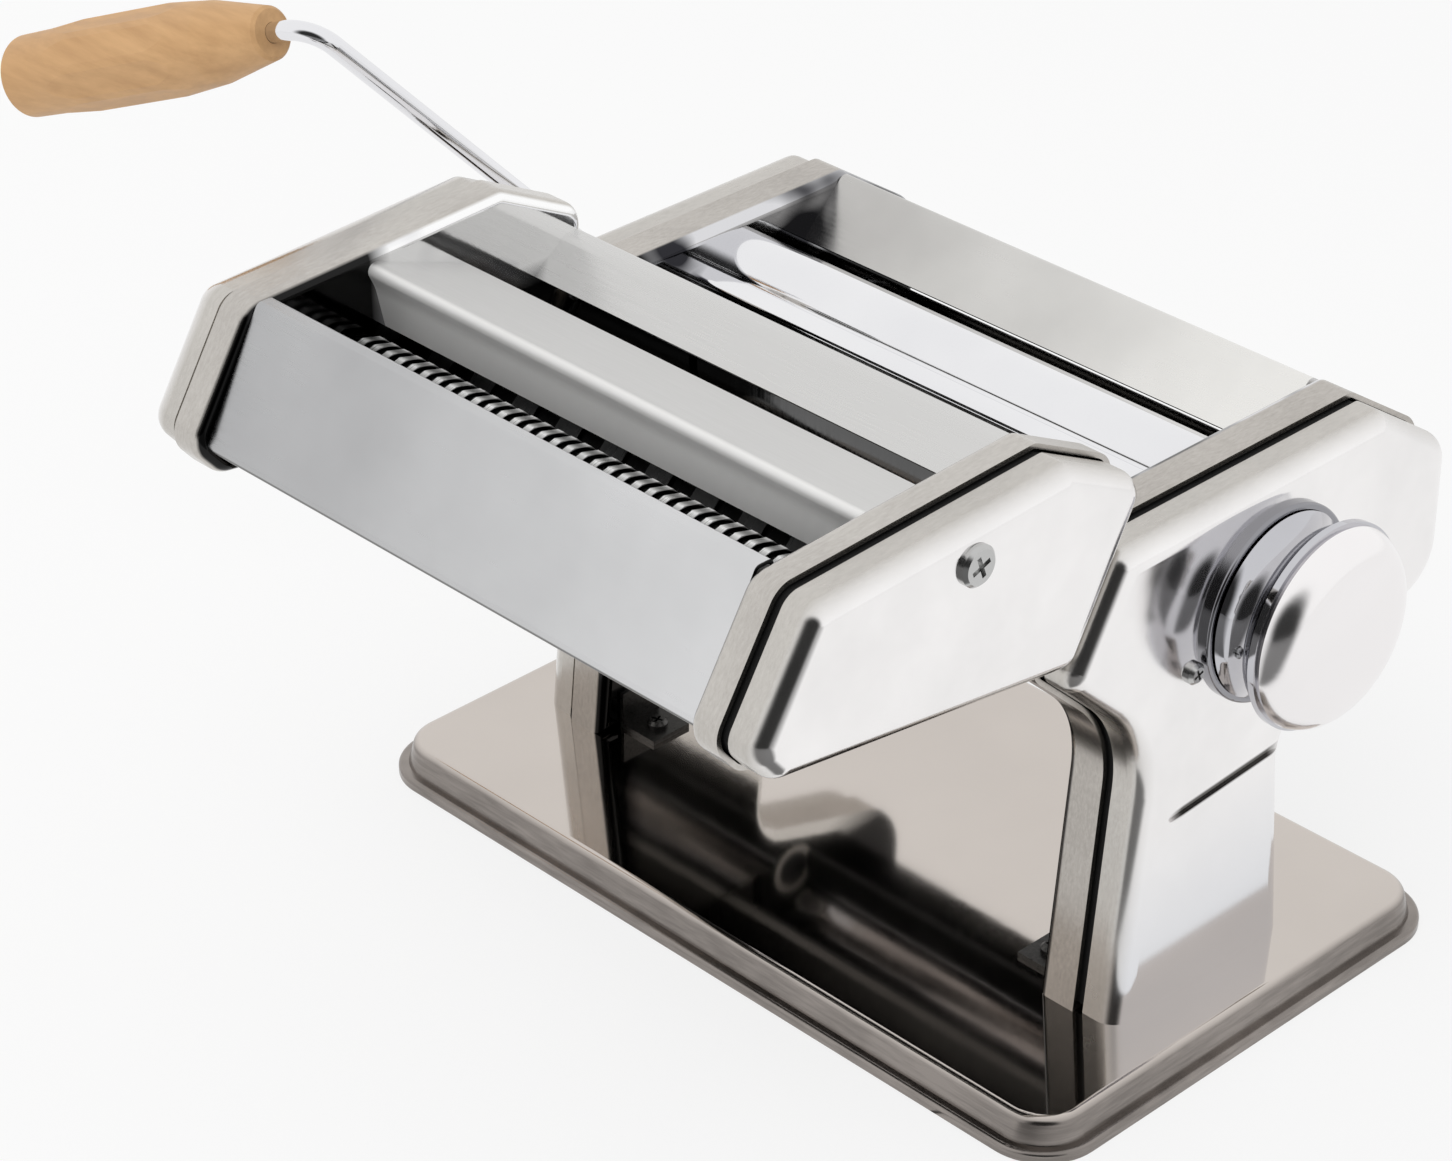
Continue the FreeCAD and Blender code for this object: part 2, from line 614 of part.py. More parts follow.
def pan_head_screw(base, way, head_radius):
    """A bevelled screw whose head sits on base and whose shank points against way."""
    head = Part.makeCylinder(head_radius, SCREW_HEAD_THICK, base, way)
    closed = [e for e in head.Edges if e.Closed]
    rim = [e for e in closed if abs((e.CenterOfMass - base).dot(way) - SCREW_HEAD_THICK) < 1e-6]
    head = head.makeChamfer(SCREW_HEAD_THICK * 0.45, rim)
    shank = Part.makeCylinder(SCREW_SHANK_RADIUS, SCREW_SHANK, base - way * SCREW_SHANK, way)
    return head.fuse(shank).cut(cross_recess(base, way, head_radius))


def cross_recess(base, way, head_radius):
    """The screwdriver's cross, sunk into a screw head."""
    length = head_radius * RECESS_SPAN
    width = head_radius * RECESS_WIDTH
    bottom = SCREW_HEAD_THICK * RECESS_FLOOR
    arms = []
    for span, across in ((length, width), (width, length)):
        arm = Part.makeBox(span, across, SCREW_HEAD_THICK, vector(-span / 2, -across / 2, bottom))
        arms.append(arm)
    cross = arms[0].fuse(arms[1])
    cross.rotate(vector(0, 0, 0), vector(0, 0, 1), RECESS_TURN)
    place_along(cross, base, way)
    return cross


def foot_screws():
    screws = []
    for x in (HALF - FOOT_SCREW_REACH, FOOT_SCREW_REACH - HALF):
        for y in (-FOOT_TAB_Y, FOOT_TAB_Y):
            seat = vector(x, LEG_MIDDLE + y, BASE_HEIGHT + FRAME_SHEET)
            screws.append(pan_head_screw(seat, vector(0, 0, 1), SCREW_HEAD_RADIUS))
    return screws


def foot_screw_holes():
    holes = []
    for x in (HALF - FOOT_SCREW_REACH, FOOT_SCREW_REACH - HALF):
        for y in (-FOOT_TAB_Y, FOOT_TAB_Y):
            start = vector(x, LEG_MIDDLE + y, 1)
            holes.append(Part.makeCylinder(SCREW_SHANK_RADIUS + SEAT_FIT, BASE_HEIGHT, start))
    return Part.makeCompound(holes)


def dial_screws():
    way = vector(1, 0, 0)
    return [pan_head_screw(vector(COVER_OUT, y, z), way, SCREW_HEAD_RADIUS) for y, z in dial_screw_places()]


def left_cover_screws():
    way = vector(-1, 0, 0)
    return [pan_head_screw(vector(-COVER_OUT, y, z), way, SCREW_HEAD_RADIUS) for y, z in LEFT_SCREWS]


# ------------------------------------------------------------------ hopper and hood
def hopper_rear_plate():
    """The sloping plate behind the rollers, folded over the top and down the back."""
    slope = math.atan2(HEAD_TOP - HEAD_REAR_HIGH, HEAD_REAR - TOP_REAR)
    back_y = HEAD_REAR - HOPPER_REAR_INSET
    back_z = HOPPER_TOP[1] - (back_y - HOPPER_TOP[0]) * math.tan(slope)
    path = [HOPPER_LIP, HOPPER_TOP, (back_y, back_z), (back_y, HOPPER_SKIRT)]
    return bent_sheet(path[::-1], (5.0, 0.8), HOPPER_SHEET, -HALF, HALF)


def front_hood():
    """The crowned cover over the front roller, with a ledge and a skirt in front."""
    path = [(HOOD_REAR[0] + 0.4, HOOD_REAR[1] - 3.0), HOOD_REAR, HOOD_CROWN, HOOD_FRONT, HOOD_LEDGE,
            (HOOD_LEDGE[0], HOOD_SKIRT)]
    return bent_sheet(path, (0.8, 40.0, 3.0, 2.0), HOOD_SHEET, -HALF, HALF)


# ------------------------------------------------------------------ rollers and their drive
def roller(y):
    """A smooth roller with a journal at each end, the left one long enough for its gear."""
    reach = HALF - ROLLER_END_PLAY
    edge = 0.8
    barrel = revolve_x([(-reach, 0.0), (-reach, ROLLER_RADIUS - edge), (-reach + edge, ROLLER_RADIUS),
                        (reach - edge, ROLLER_RADIUS), (reach, ROLLER_RADIUS - edge), (reach, 0.0)],
                       y, ROLLER_HEIGHT)
    journal = rod(JOURNAL_RADIUS, -GEAR_IN - GEAR_FACE, HALF + BUSH_LENGTH - SIDE_PLAY, y, ROLLER_HEIGHT)
    return barrel.fuse(journal)


def roller_gear(y, turn):
    """A tall-toothed gear, so the pair stays in mesh when the rollers part."""
    blank = gear(ROLLER_TEETH, GEAR_PITCH, TOOTH_HALF_DEPTH, -GEAR_IN - GEAR_FACE, -GEAR_IN,
                 y, ROLLER_HEIGHT, turn)
    return blank.cut(rod(JOURNAL_RADIUS, -GEAR_IN - GEAR_FACE - 1, -GEAR_IN + 1, y, ROLLER_HEIGHT))


def roller_bushes():
    """The fixed roller's bushes, one in each side frame."""
    x1 = HALF + BUSH_LENGTH
    body = rod(JOURNAL_RADIUS + BUSH_WALL, HALF, x1, REAR_Y, ROLLER_HEIGHT)
    flange = rod(JOURNAL_RADIUS + 2 * BUSH_WALL, HALF + FRAME_SHEET, HALF + FRAME_SHEET + 1.5,
                 REAR_Y, ROLLER_HEIGHT)
    bore = rod(JOURNAL_RADIUS + RUN_FIT, HALF - 1, x1 + 1, REAR_Y, ROLLER_HEIGHT)
    return both_sides(body.fuse(flange).cut(bore))


def drive_bush():
    """The crank pinion's bush in the left frame."""
    x1 = HALF + BUSH_LENGTH
    body = rod(DRIVE_RADIUS + BUSH_WALL, -x1, -HALF, DRIVE_Y, DRIVE_Z)
    flange = rod(DRIVE_RADIUS + 1.6 * BUSH_WALL, -HALF - FRAME_SHEET - 1.5, -HALF - FRAME_SHEET,
                 DRIVE_Y, DRIVE_Z)
    bore = rod(DRIVE_RADIUS + RUN_FIT, -x1 - 1, -HALF + 1, DRIVE_Y, DRIVE_Z)
    return body.fuse(flange).cut(bore)


def mesh_turn(teeth, own_turn, other_teeth, direction):
    """The turn of the other gear that puts its gap where this gear's tooth is, on the line of centres."""
    step = 360.0 / teeth
    phase = ((direction - own_turn) / step) % 1.0
    other_step = 360.0 / other_teeth
    return direction + 180.0 + (phase + 0.5) * other_step


def drive_pinion():
    """The pinion that the crank turns, in one piece with its stub shaft and crank socket."""
    turn = mesh_turn(ROLLER_TEETH, 0.0, PINION_TEETH, PINION_ANGLE)
    blank = gear(PINION_TEETH, PINION_PITCH, TOOTH_HALF_DEPTH, -GEAR_IN - GEAR_FACE, -GEAR_IN,
                 DRIVE_Y, DRIVE_Z, turn)
    stub = rod(DRIVE_RADIUS, -GEAR_IN - 1, -HALF, DRIVE_Y, DRIVE_Z)
    return blank.fuse(stub)


def keyed_end(radius, key_width, key_across, x0, x1, y, z, turn):
    """A round end with a key across it, as the crank has and as its sockets take."""
    key = Part.makeBox(x1 - x0, key_across, key_width, vector(x0, -key_across / 2, -key_width / 2))
    key.rotate(vector(0, 0, 0), vector(1, 0, 0), turn)
    key.translate(vector(0, y, z))
    return rod(radius, x0, x1, y, z).fuse(key)


def crank_socket(mouth_x, y, z, turn):
    """The hole for the crank's end, open at mouth_x."""
    return keyed_end(CRANK_END + RUN_FIT, KEY_WIDTH + 2 * KEY_PLAY, KEY_ACROSS + 2 * KEY_PLAY,
                     mouth_x, mouth_x + CRANK_INSERT + SOCKET_SUNK, y, z, turn)


def drive_socket():
    """The keyed socket for the crank, at the outer side of the pinion."""
    mouth_x = -COVER_OUT + SOCKET_SUNK
    tube = rod(SOCKET_RADIUS, mouth_x, -GEAR_IN - GEAR_FACE, DRIVE_Y, DRIVE_Z)
    return tube.cut(crank_socket(mouth_x, DRIVE_Y, DRIVE_Z, ARM_ANGLE))


# ------------------------------------------------------------------ roller carriage
def carriage_block(side):
    """A bearing block that slides in its frame. The right one has the yoke that the eccentric works in."""
    y = FRONT_OPEN_Y
    z0 = ROLLER_HEIGHT - BLOCK_BELOW
    block = Part.makeBox(BLOCK_THICK, BLOCK_WIDTH, BLOCK_BELOW + BLOCK_ABOVE,
                         vector(HALF, y - BLOCK_WIDTH / 2, z0))
    bore = rod(JOURNAL_RADIUS + RUN_FIT, HALF - 1, HALF + BLOCK_THICK + 1, y, ROLLER_HEIGHT)
    block = block.cut(bore)
    if side < 0:
        return block.mirror(vector(0, 0, 0), vector(1, 0, 0))
    yoke = Part.makeBox(YOKE_THICK, BLOCK_WIDTH, 2 * BLOCK_ABOVE,
                        vector(HALF + BLOCK_THICK, y - BLOCK_WIDTH / 2, ROLLER_HEIGHT - BLOCK_ABOVE))
    wide = ECCENTRIC_RADIUS + YOKE_PLAY
    tall = ECCENTRIC_RADIUS + ECCENTRICITY + YOKE_PLAY
    slot = Part.makeBox(YOKE_THICK + 1, 2 * wide, 2 * tall,
                        vector(HALF + BLOCK_THICK, y - wide, ROLLER_HEIGHT - tall))
    return block.fuse(yoke.cut(slot))


def carriage_bar():
    """The flat bar that ties the two bearing blocks together below the front roller."""
    z0 = ROLLER_HEIGHT - BLOCK_BELOW
    y1 = FRONT_OPEN_Y - SCRAPER_THICK / 2
    return Part.makeBox(INNER_WIDTH, BAR_THICK, BAR_HEIGHT, vector(-HALF, y1 - BAR_THICK, z0))


def scraper(y, half_length):
    """A blade under a roller, sharpened at its top edge."""
    top = ROLLER_HEIGHT - ROLLER_RADIUS - SCRAPER_GAP
    half = SCRAPER_THICK / 2
    outline = [(y - half, top - SCRAPER_HEIGHT, 0), (y + half, top - SCRAPER_HEIGHT, 0),
               (y + half, top - 1.5, 0), (y + 0.2, top, 0), (y - 0.2, top, 0), (y - half, top - 1.5, 0)]
    return prism(outline, -half_length, half_length)


# ------------------------------------------------------------------ thickness knob
def adjusting_shaft():
    """The knob's shaft: an eccentric at its inner end, a collar, a journal and a hexagon for the knob."""
    x0 = HALF + BLOCK_THICK + SIDE_PLAY
    x1 = HALF + BLOCK_THICK + YOKE_THICK
    collar_end = x1 + SIDE_PLAY + 1.6
    disc = rod(ECCENTRIC_RADIUS, x0, x1 + SIDE_PLAY + 0.1, KNOB_Y - ECCENTRICITY, ROLLER_HEIGHT)
    collar = rod(ECCENTRIC_RADIUS + ECCENTRICITY + 1.0, x1 + SIDE_PLAY, collar_end, KNOB_Y, ROLLER_HEIGHT)
    journal = rod(ADJUST_RADIUS, collar_end - 0.5, COVER_OUT + DIAL_THICK, KNOB_Y, ROLLER_HEIGHT)
    hex_end = knob_floor_x() + HEX_LENGTH
    hexagon = prism_sides(HEX_ACROSS / math.sqrt(3), 6, COVER_OUT + DIAL_THICK - 1, hex_end,
                          KNOB_Y, ROLLER_HEIGHT)
    nut = rod(NUT_RADIUS, hex_end, hex_end + NUT_THICK, KNOB_Y, ROLLER_HEIGHT)
    return disc.multiFuse([collar, journal, hexagon, nut])


def knob_floor_x():
    """The inner face of the knob's floor."""
    return COVER_OUT + DIAL_THICK + KNOB_GAP + KNOB_FLOOR


def dial_plate():
    """The index disc on the side cover, with the hub that carries the knob's shaft."""
    disc = rod(DIAL_RADIUS, COVER_OUT, COVER_OUT + DIAL_THICK, KNOB_Y, ROLLER_HEIGHT)
    rim = [e for e in disc.Edges if e.Closed and e.CenterOfMass.x > COVER_OUT + DIAL_THICK - 0.01]
    disc = disc.makeFillet(0.9, rim)
    hub = rod(HUB_RADIUS, COVER_OUT - HUB_REACH, COVER_OUT + 0.5, KNOB_Y, ROLLER_HEIGHT)
    bore = rod(ADJUST_RADIUS + RUN_FIT, COVER_OUT - HUB_REACH - 1, COVER_OUT + DIAL_THICK + 1,
               KNOB_Y, ROLLER_HEIGHT)
    return disc.fuse(hub).cut(bore)


def knob_barrel():
    """The knob's waisted barrel with its thin outer rim."""
    x0 = COVER_OUT + DIAL_THICK + KNOB_GAP
    x1 = x0 + KNOB_BARREL
    rim_start = x1 - KNOB_RIM
    waist_x = x0 + (x1 - x0) * 0.38
    outline = [
        vector(x0, 0, KNOB_FOOT_RADIUS),
        vector(waist_x, 0, KNOB_WAIST_RADIUS),
        vector(rim_start, 0, KNOB_RIM_RADIUS),
    ]
    curve = Part.Arc(*outline).toShape()
    corners = [outline[2], vector(x1, 0, KNOB_RIM_RADIUS), vector(x1, 0, CAP_RADIUS - KNOB_WALL - 1.0),
               vector(x1 - CAP_PLUG - 0.5, 0, CAP_RADIUS - KNOB_WALL - 1.0),
               vector(knob_floor_x(), 0, KNOB_WAIST_RADIUS - KNOB_WALL - 1.0),
               vector(knob_floor_x(), 0, 0), vector(x0, 0, 0), outline[0]]
    sides = [Part.LineSegment(a, b).toShape() for a, b in zip(corners, corners[1:])]
    barrel = Part.Face(Part.Wire([curve] + sides)).revolve(vector(0, 0, 0), vector(1, 0, 0), 360)
    barrel.translate(vector(0, KNOB_Y, ROLLER_HEIGHT))
    bore = prism_sides((HEX_ACROSS + 2 * KEY_PLAY) / math.sqrt(3), 6, x0 - 1, knob_floor_x() + 1,
                       KNOB_Y, ROLLER_HEIGHT)
    return barrel.cut(bore)


def knob_cap():
    """The domed cap that closes the knob."""
    x0 = COVER_OUT + DIAL_THICK + KNOB_GAP + KNOB_BARREL
    plug = CAP_RADIUS - KNOB_WALL - 1.0 - SEAT_FIT
    rim_x = x0 + 1.0
    top_x = rim_x + CAP_DOME
    middle = vector(rim_x + CAP_DOME * 0.72, 0, CAP_FLAT_RADIUS + (CAP_RADIUS - CAP_FLAT_RADIUS) * 0.62)
    dome = Part.Arc(vector(rim_x, 0, CAP_RADIUS), middle, vector(top_x, 0, CAP_FLAT_RADIUS)).toShape()
    corners = [vector(top_x, 0, CAP_FLAT_RADIUS), vector(top_x, 0, 0), vector(top_x - KNOB_WALL, 0, 0),
               vector(top_x - KNOB_WALL, 0, CAP_FLAT_RADIUS - 3.0),
               vector(x0 + 0.5, 0, plug - KNOB_WALL),
               vector(x0 - CAP_PLUG, 0, plug - KNOB_WALL), vector(x0 - CAP_PLUG, 0, plug),
               vector(x0, 0, plug), vector(x0, 0, CAP_RADIUS - 0.6), vector(rim_x, 0, CAP_RADIUS)]
    sides = [Part.LineSegment(a, b).toShape() for a, b in zip(corners, corners[1:])]
    cap = Part.Face(Part.Wire([dome] + sides)).revolve(vector(0, 0, 0), vector(1, 0, 0), 360)
    cap.translate(vector(0, KNOB_Y, ROLLER_HEIGHT))
    return cap


# ------------------------------------------------------------------ crank
def crank_frame():
    """The crank's key points: its mouth in the socket, the elbow, the wrist, and the grip's axis."""
    elbow = vector(-COVER_OUT - CRANK_STUB, DRIVE_Y, DRIVE_Z)
    slant = math.radians(ARM_SLANT)
    angle = math.radians(ARM_ANGLE)
    arm = vector(-math.sin(slant), math.cos(slant) * math.cos(angle), math.cos(slant) * math.sin(angle))
    wrist = elbow + arm * ARM_LENGTH
    splay = math.radians(GRIP_SPLAY)
    turn = math.radians(GRIP_SPLAY_ANGLE)
    grip = vector(-math.cos(splay), math.sin(splay) * math.cos(turn), math.sin(splay) * math.sin(turn))
    return elbow, wrist, grip


def bent_rod(points, radius, bend):
    """A round rod along straight runs joined by bends."""
    edges = []
    start = points[0]
    for before, corner, after in zip(points, points[1:], points[2:]):
        back = (before - corner).normalize()
        on = (after - corner).normalize()
        half = back.getAngle(on) / 2
        run = bend / math.tan(half)
        middle = (back + on).normalize()
        crown = corner + middle * (bend / math.sin(half) - bend)
        edges.append(Part.LineSegment(start, corner + back * run).toShape())
        edges.append(Part.Arc(corner + back * run, crown, corner + on * run).toShape())
        start = corner + on * run
    edges.append(Part.LineSegment(start, points[-1]).toShape())
    way = (points[1] - points[0]).normalize()
    ring = Part.Wire([Part.Circle(points[0], way, radius).toShape()])
    return Part.Wire(edges).makePipeShell([ring], True, True)


def crank_rod():
    """The chromed rod with its square end, bent twice."""
    elbow, wrist, grip = crank_frame()
    start = vector(-COVER_OUT - 0.2, DRIVE_Y, DRIVE_Z)
    end = wrist + grip * (GRIP_STANDOFF + GRIP_LENGTH - GRIP_CAP_DEPTH - BUTTON_PLAY)
    body = bent_rod([start, elbow, wrist, end], CRANK_ROD, CRANK_BEND)
    keyed = keyed_end(CRANK_END, KEY_WIDTH, KEY_ACROSS, -COVER_OUT - CRANK_COLLAR, -COVER_OUT + CRANK_INSERT,
                      DRIVE_Y, DRIVE_Z, ARM_ANGLE)
    button = Part.makeCylinder(CRANK_ROD + BUTTON_STEP, BUTTON_THICK, end - grip * BUTTON_THICK, grip)
    return body.multiFuse([keyed, button])


def along(origin, way, profile):
    """Turn a (distance, radius) outline round a line in space."""
    points = [vector(0, r, d) for d, r in profile]
    face = Part.Face(Part.makePolygon(points + points[:1]))
    solid = face.revolve(vector(0, 0, 0), vector(0, 0, 1), 360)
    place_along(solid, origin, way)
    return solid


def place_along(solid, origin, way):
    """Move a solid made along +Z so that it starts at origin and points along way."""
    solid.Placement = FreeCAD.Placement(origin, FreeCAD.Rotation(vector(0, 0, 1), way)) * solid.Placement


def crank_grip():
    """The turning grip: a round end band, a flatted body and a taper to the rod."""
    elbow, wrist, grip = crank_frame()
    origin = wrist + grip * GRIP_STANDOFF
    band_start = GRIP_LENGTH - GRIP_BAND
    bore = CRANK_ROD + RUN_FIT
    chamber = CRANK_ROD + BUTTON_STEP + BUTTON_PLAY
    chamber_start = GRIP_LENGTH - GRIP_CAP_DEPTH - BUTTON_THICK - 2 * BUTTON_PLAY
    body = along(origin, grip, [
        (0.0, bore), (0.0, GRIP_NECK_RADIUS - 0.8), (0.8, GRIP_NECK_RADIUS), (GRIP_TAPER, GRIP_RADIUS - 1.2),
        (GRIP_TAPER + 14.0, GRIP_RADIUS), (band_start - 12.0, GRIP_RADIUS), (band_start, GRIP_END_RADIUS),
        (GRIP_LENGTH - 1.6, GRIP_END_RADIUS - 0.2), (GRIP_LENGTH, GRIP_END_RADIUS - 1.8),
        (GRIP_LENGTH, GRIP_CAP_RADIUS + SEAT_FIT), (GRIP_LENGTH - GRIP_CAP_DEPTH, GRIP_CAP_RADIUS + SEAT_FIT),
        (GRIP_LENGTH - GRIP_CAP_DEPTH, chamber), (chamber_start, chamber), (chamber_start, bore)])
    reach = (GRIP_RADIUS - GRIP_FLAT_DEPTH) / math.cos(math.pi / GRIP_FLATS)
    cutter = prism_sides(reach, GRIP_FLATS, GRIP_TAPER - 4.0, band_start - 2.0, 0, 0, 180.0 / GRIP_FLATS)
    keep = rod(GRIP_RADIUS + 5, GRIP_TAPER - 4.0, band_start - 2.0, 0, 0).cut(cutter)
    keep.rotate(vector(0, 0, 0), vector(0, 1, 0), -90)
    place_along(keep, origin, grip)
    return body.cut(keep)


def grip_cap():
    """The plug that closes the grip's end, a little below its edge."""
    elbow, wrist, grip = crank_frame()
    origin = wrist + grip * (GRIP_STANDOFF + GRIP_LENGTH - GRIP_CAP_DEPTH)
    thick = GRIP_CAP_DEPTH - 1.2
    return along(origin, grip, [(0.0, 0.0), (0.0, GRIP_CAP_RADIUS), (thick, GRIP_CAP_RADIUS), (thick, 0.0)])


# ------------------------------------------------------------------ cutter unit
def shaft_axes():
    return [FINE_FRONT_AXIS, FINE_REAR_AXIS, WIDE_FRONT_AXIS, WIDE_REAR_AXIS]


def dock_bar(x0, x1, near, far, below, above):
    """A bar along the docking edge: from near to far in front of it, from below to above the rails' top."""
    lean = math.radians(DOCK_LEAN)
    way = vector(0, math.sin(lean), math.cos(lean))
    out = vector(0, -math.cos(lean), math.sin(lean))
    start = vector(0, dock_y(RAIL_TOP), RAIL_TOP) + out * near
    corners = []
    for x, rise in ((x0, -below), (x1, -below), (x1, above), (x0, above)):
        corners.append(start + way * rise + vector(x, 0, 0))
    face = Part.Face(Part.makePolygon(corners + corners[:1]))
    return face.extrude(out * (far - near))


def rail_bars(near, reach, fit, below, above):
    """The T section of a docking rail, larger all round by fit: its neck and its head."""
    middle = CUTTER_HALF + CUTTER_FLANGE / 2
    neck = RAIL_NECK / 2 + fit
    head = RAIL_HEAD / 2 + fit
    head_near = RAIL_REACH - RAIL_HEAD_THICK - fit
    bars = [dock_bar(middle - neck, middle + neck, near, reach + fit, below, above),
            dock_bar(middle - head, middle + head, head_near, reach + fit, below, above)]
    return bars[0].fuse(bars[1])


def cutter_end_plate(side):
    """A flanged end plate of the cutter unit, with its shaft holes and screw pillar."""
    plate = tray(cutter_outline(), CUTTER_HALF, PLATE_OUT, FRAME_SHEET, FRAME_BEND)
    pillar = rod(PILLAR_RADIUS, CUTTER_HALF + FRAME_SHEET / 2, CUTTER_COVER_OUT - COVER_SHEET, *CUTTER_SCREW)
    plate = plate.fuse(pillar)
    holes = [rod(SHAFT_RADIUS + RUN_FIT, CUTTER_HALF - 1, CUTTER_HALF + 3, y, z) for y, z in shaft_axes()]
    thread_x = CUTTER_COVER_OUT - SCREW_SHANK - 0.5
    holes.append(rod(SCREW_SHANK_RADIUS, thread_x, CUTTER_COVER_OUT, *CUTTER_SCREW))
    holes.append(rail_bars(-CUTTER_FLANGE, RAIL_REACH, SLIDE_FIT, RAIL_SLOT, SLIDE_FIT))
    plate = plate.cut(Part.makeCompound(holes))
    return plate if side > 0 else plate.mirror(vector(0, 0, 0), vector(1, 0, 0))


def cutter_end_cover(side):
    """The polished shell over a cutter end plate. The left one is open at the two crank sockets."""
    cover = lipped_cover(cutter_outline(), CUTTER_COVER_IN, CUTTER_COVER_OUT, CUTTER_COVER_EDGE)
    holes = [rod(SCREW_SHANK_RADIUS + SEAT_FIT, CUTTER_COVER_OUT - 3, CUTTER_COVER_OUT + 1, *CUTTER_SCREW)]
    if side < 0:
        for y, z in (FINE_FRONT_AXIS, WIDE_REAR_AXIS):
            holes.append(rod(SOCKET_RADIUS + SIDE_PLAY, CUTTER_COVER_OUT - 3, CUTTER_COVER_OUT + 1, y, z))
        gear_room = CUTTER_CENTRES / 2 + CUTTER_TOOTH + 2 * SIDE_PLAY
        for y, z in shaft_axes():
            holes.append(rod(gear_room, CUTTER_HALF, cutter_gear_end() + SIDE_PLAY, y, z))
    holes.append(rail_lip_notch())
    cover = cover.cut(Part.makeCompound(holes))
    return cover if side > 0 else cover.mirror(vector(0, 0, 0), vector(1, 0, 0))


def rail_lip_notch():
    """Room in a cover's lip for the head of the rail."""
    lip_start = CUTTER_COVER_IN - SEAM_GAP - LIP_REACH
    return dock_bar(lip_start - 1, CUTTER_COVER_IN, 0.0, RAIL_REACH + 2 * SLIDE_FIT, RAIL_SLOT, 2 * SLIDE_FIT)


def docking_rails():
    """The two T rails on the head's docked edge that carry the cutter unit."""
    return both_sides(rail_bars(0.0, RAIL_REACH, 0.0, RAIL_LENGTH, 0.0))


def cutter_front_panel():
    """The plain front panel, folded in at its foot, and over its top down into the narrow cutter's mouth."""
    path = [PANEL_GUIDE, PANEL_FOLD, PANEL_TOP, PANEL_BOTTOM, PANEL_FOOT]
    return bent_sheet(path, (0.5, 0.7, 1.2), PANEL_SHEET, -CUTTER_HALF, CUTTER_HALF)


def cutter_ridge_plate():
    """The roof between the two cutters."""
    path = [RIDGE_TAIL, RIDGE_TOP, RIDGE_SHOULDER, RIDGE_FOOT]
    return bent_sheet(path, (1.0, 12.0), PANEL_SHEET, -CUTTER_HALF, CUTTER_HALF)


def cutter_back_plate():
    """The plate behind the wide cutter, folded down along the docked side."""
    lean = math.radians(DOCK_LEAN)
    corner = (dock_y(BACK_TOP[1], DOCK_GAP), BACK_TOP[1])
    foot = (corner[0] - BACK_FLANGE * math.sin(lean), corner[1] - BACK_FLANGE * math.cos(lean))
    return bent_sheet([foot, corner, BACK_TOP, BACK_LIP], (0.8, 3.0), PANEL_SHEET, -CUTTER_HALF, CUTTER_HALF)


def cutter_shaft(axis, pitch, count, offset, socket):
    """A shaft with square-shouldered rings. The rings of a pair run in each other's grooves."""
    y, z = axis
    run = CUTTER_HALF - SIDE_PLAY
    first = -pitch * count / 2 + offset + SHEAR_GAP
    ring_width = pitch / 2 - 2 * SHEAR_GAP
    core = prism_sides(CORE_RADIUS, RING_SIDES, -run, run, y, z)
    rings = []
    for i in range(count):
        x0 = first + i * pitch
        rings.append(prism_sides(RING_RADIUS, RING_SIDES, x0, x0 + ring_width, y, z))
    left_end = -CUTTER_COVER_OUT + SOCKET_SUNK if socket else -PLATE_OUT
    shaft = rod(SHAFT_RADIUS, left_end, CUTTER_HALF + 4.0, y, z)
    body = core.multiFuse(rings + [shaft])
    if socket:
        mouth_x = -CUTTER_COVER_OUT + SOCKET_SUNK
        hub = rod(SOCKET_RADIUS, mouth_x, -cutter_gear_end(), y, z)
        body = body.fuse(hub).cut(crank_socket(mouth_x, y, z, 0.0))
    return body


def cutter_gear_end():
    return CUTTER_HALF + FRAME_SHEET + SIDE_PLAY + CUTTER_GEAR_FACE


def cutter_gear(axis, turn):
    """A small spur gear on a cutter shaft, between the left end plate and its cover."""
    y, z = axis
    x0 = -cutter_gear_end()
    blank = gear(CUTTER_TEETH, CUTTER_CENTRES / 2, CUTTER_TOOTH, x0, x0 + CUTTER_GEAR_FACE, y, z, turn)
    return blank.cut(rod(SHAFT_RADIUS, x0 - 1, x0 + CUTTER_GEAR_FACE + 1, y, z))


def cutter_comb(axis, pitch, count, offset, angle):
    """A stripper comb: a bar across the unit whose teeth reach into one shaft's grooves."""
    y, z = axis
    turn = math.radians(angle)
    out = vector(0, math.cos(turn), math.sin(turn))
    up = vector(0, -math.sin(turn), math.cos(turn))
    middle = vector(0, y, z)
    half = COMB_BAR / 2
    bar = comb_block(middle + out * COMB_REACH, out, up, -CUTTER_HALF, CUTTER_HALF, half, half)
    tooth_in = CORE_RADIUS + COMB_GAP
    tooth_mid = (tooth_in + COMB_REACH) / 2
    tooth_half = (COMB_REACH - tooth_in) / 2
    groove = pitch / 2
    teeth = []
    for i in range(count - 1):
        x0 = -pitch * count / 2 + offset + pitch * i + groove + COMB_GAP
        x1 = x0 + groove - 2 * COMB_GAP
        teeth.append(comb_block(middle + out * tooth_mid, out, up, x0, x1, tooth_half, half * 0.6))
    return bar.multiFuse(teeth)


def comb_block(centre, out, up, x0, x1, half_out, half_up):
    corners = []
    for a, b in ((-1, -1), (1, -1), (1, 1), (-1, 1)):
        corner = centre + out * (half_out * a) + up * (half_up * b)
        corners.append(vector(x0, corner.y, corner.z))
    face = Part.Face(Part.makePolygon(corners + corners[:1]))
    return face.extrude(vector(x1 - x0, 0, 0))


def cutter_cover_screws():
    right = pan_head_screw(vector(CUTTER_COVER_OUT, *CUTTER_SCREW), vector(1, 0, 0), COVER_SCREW_HEAD)
    return both_sides(right)


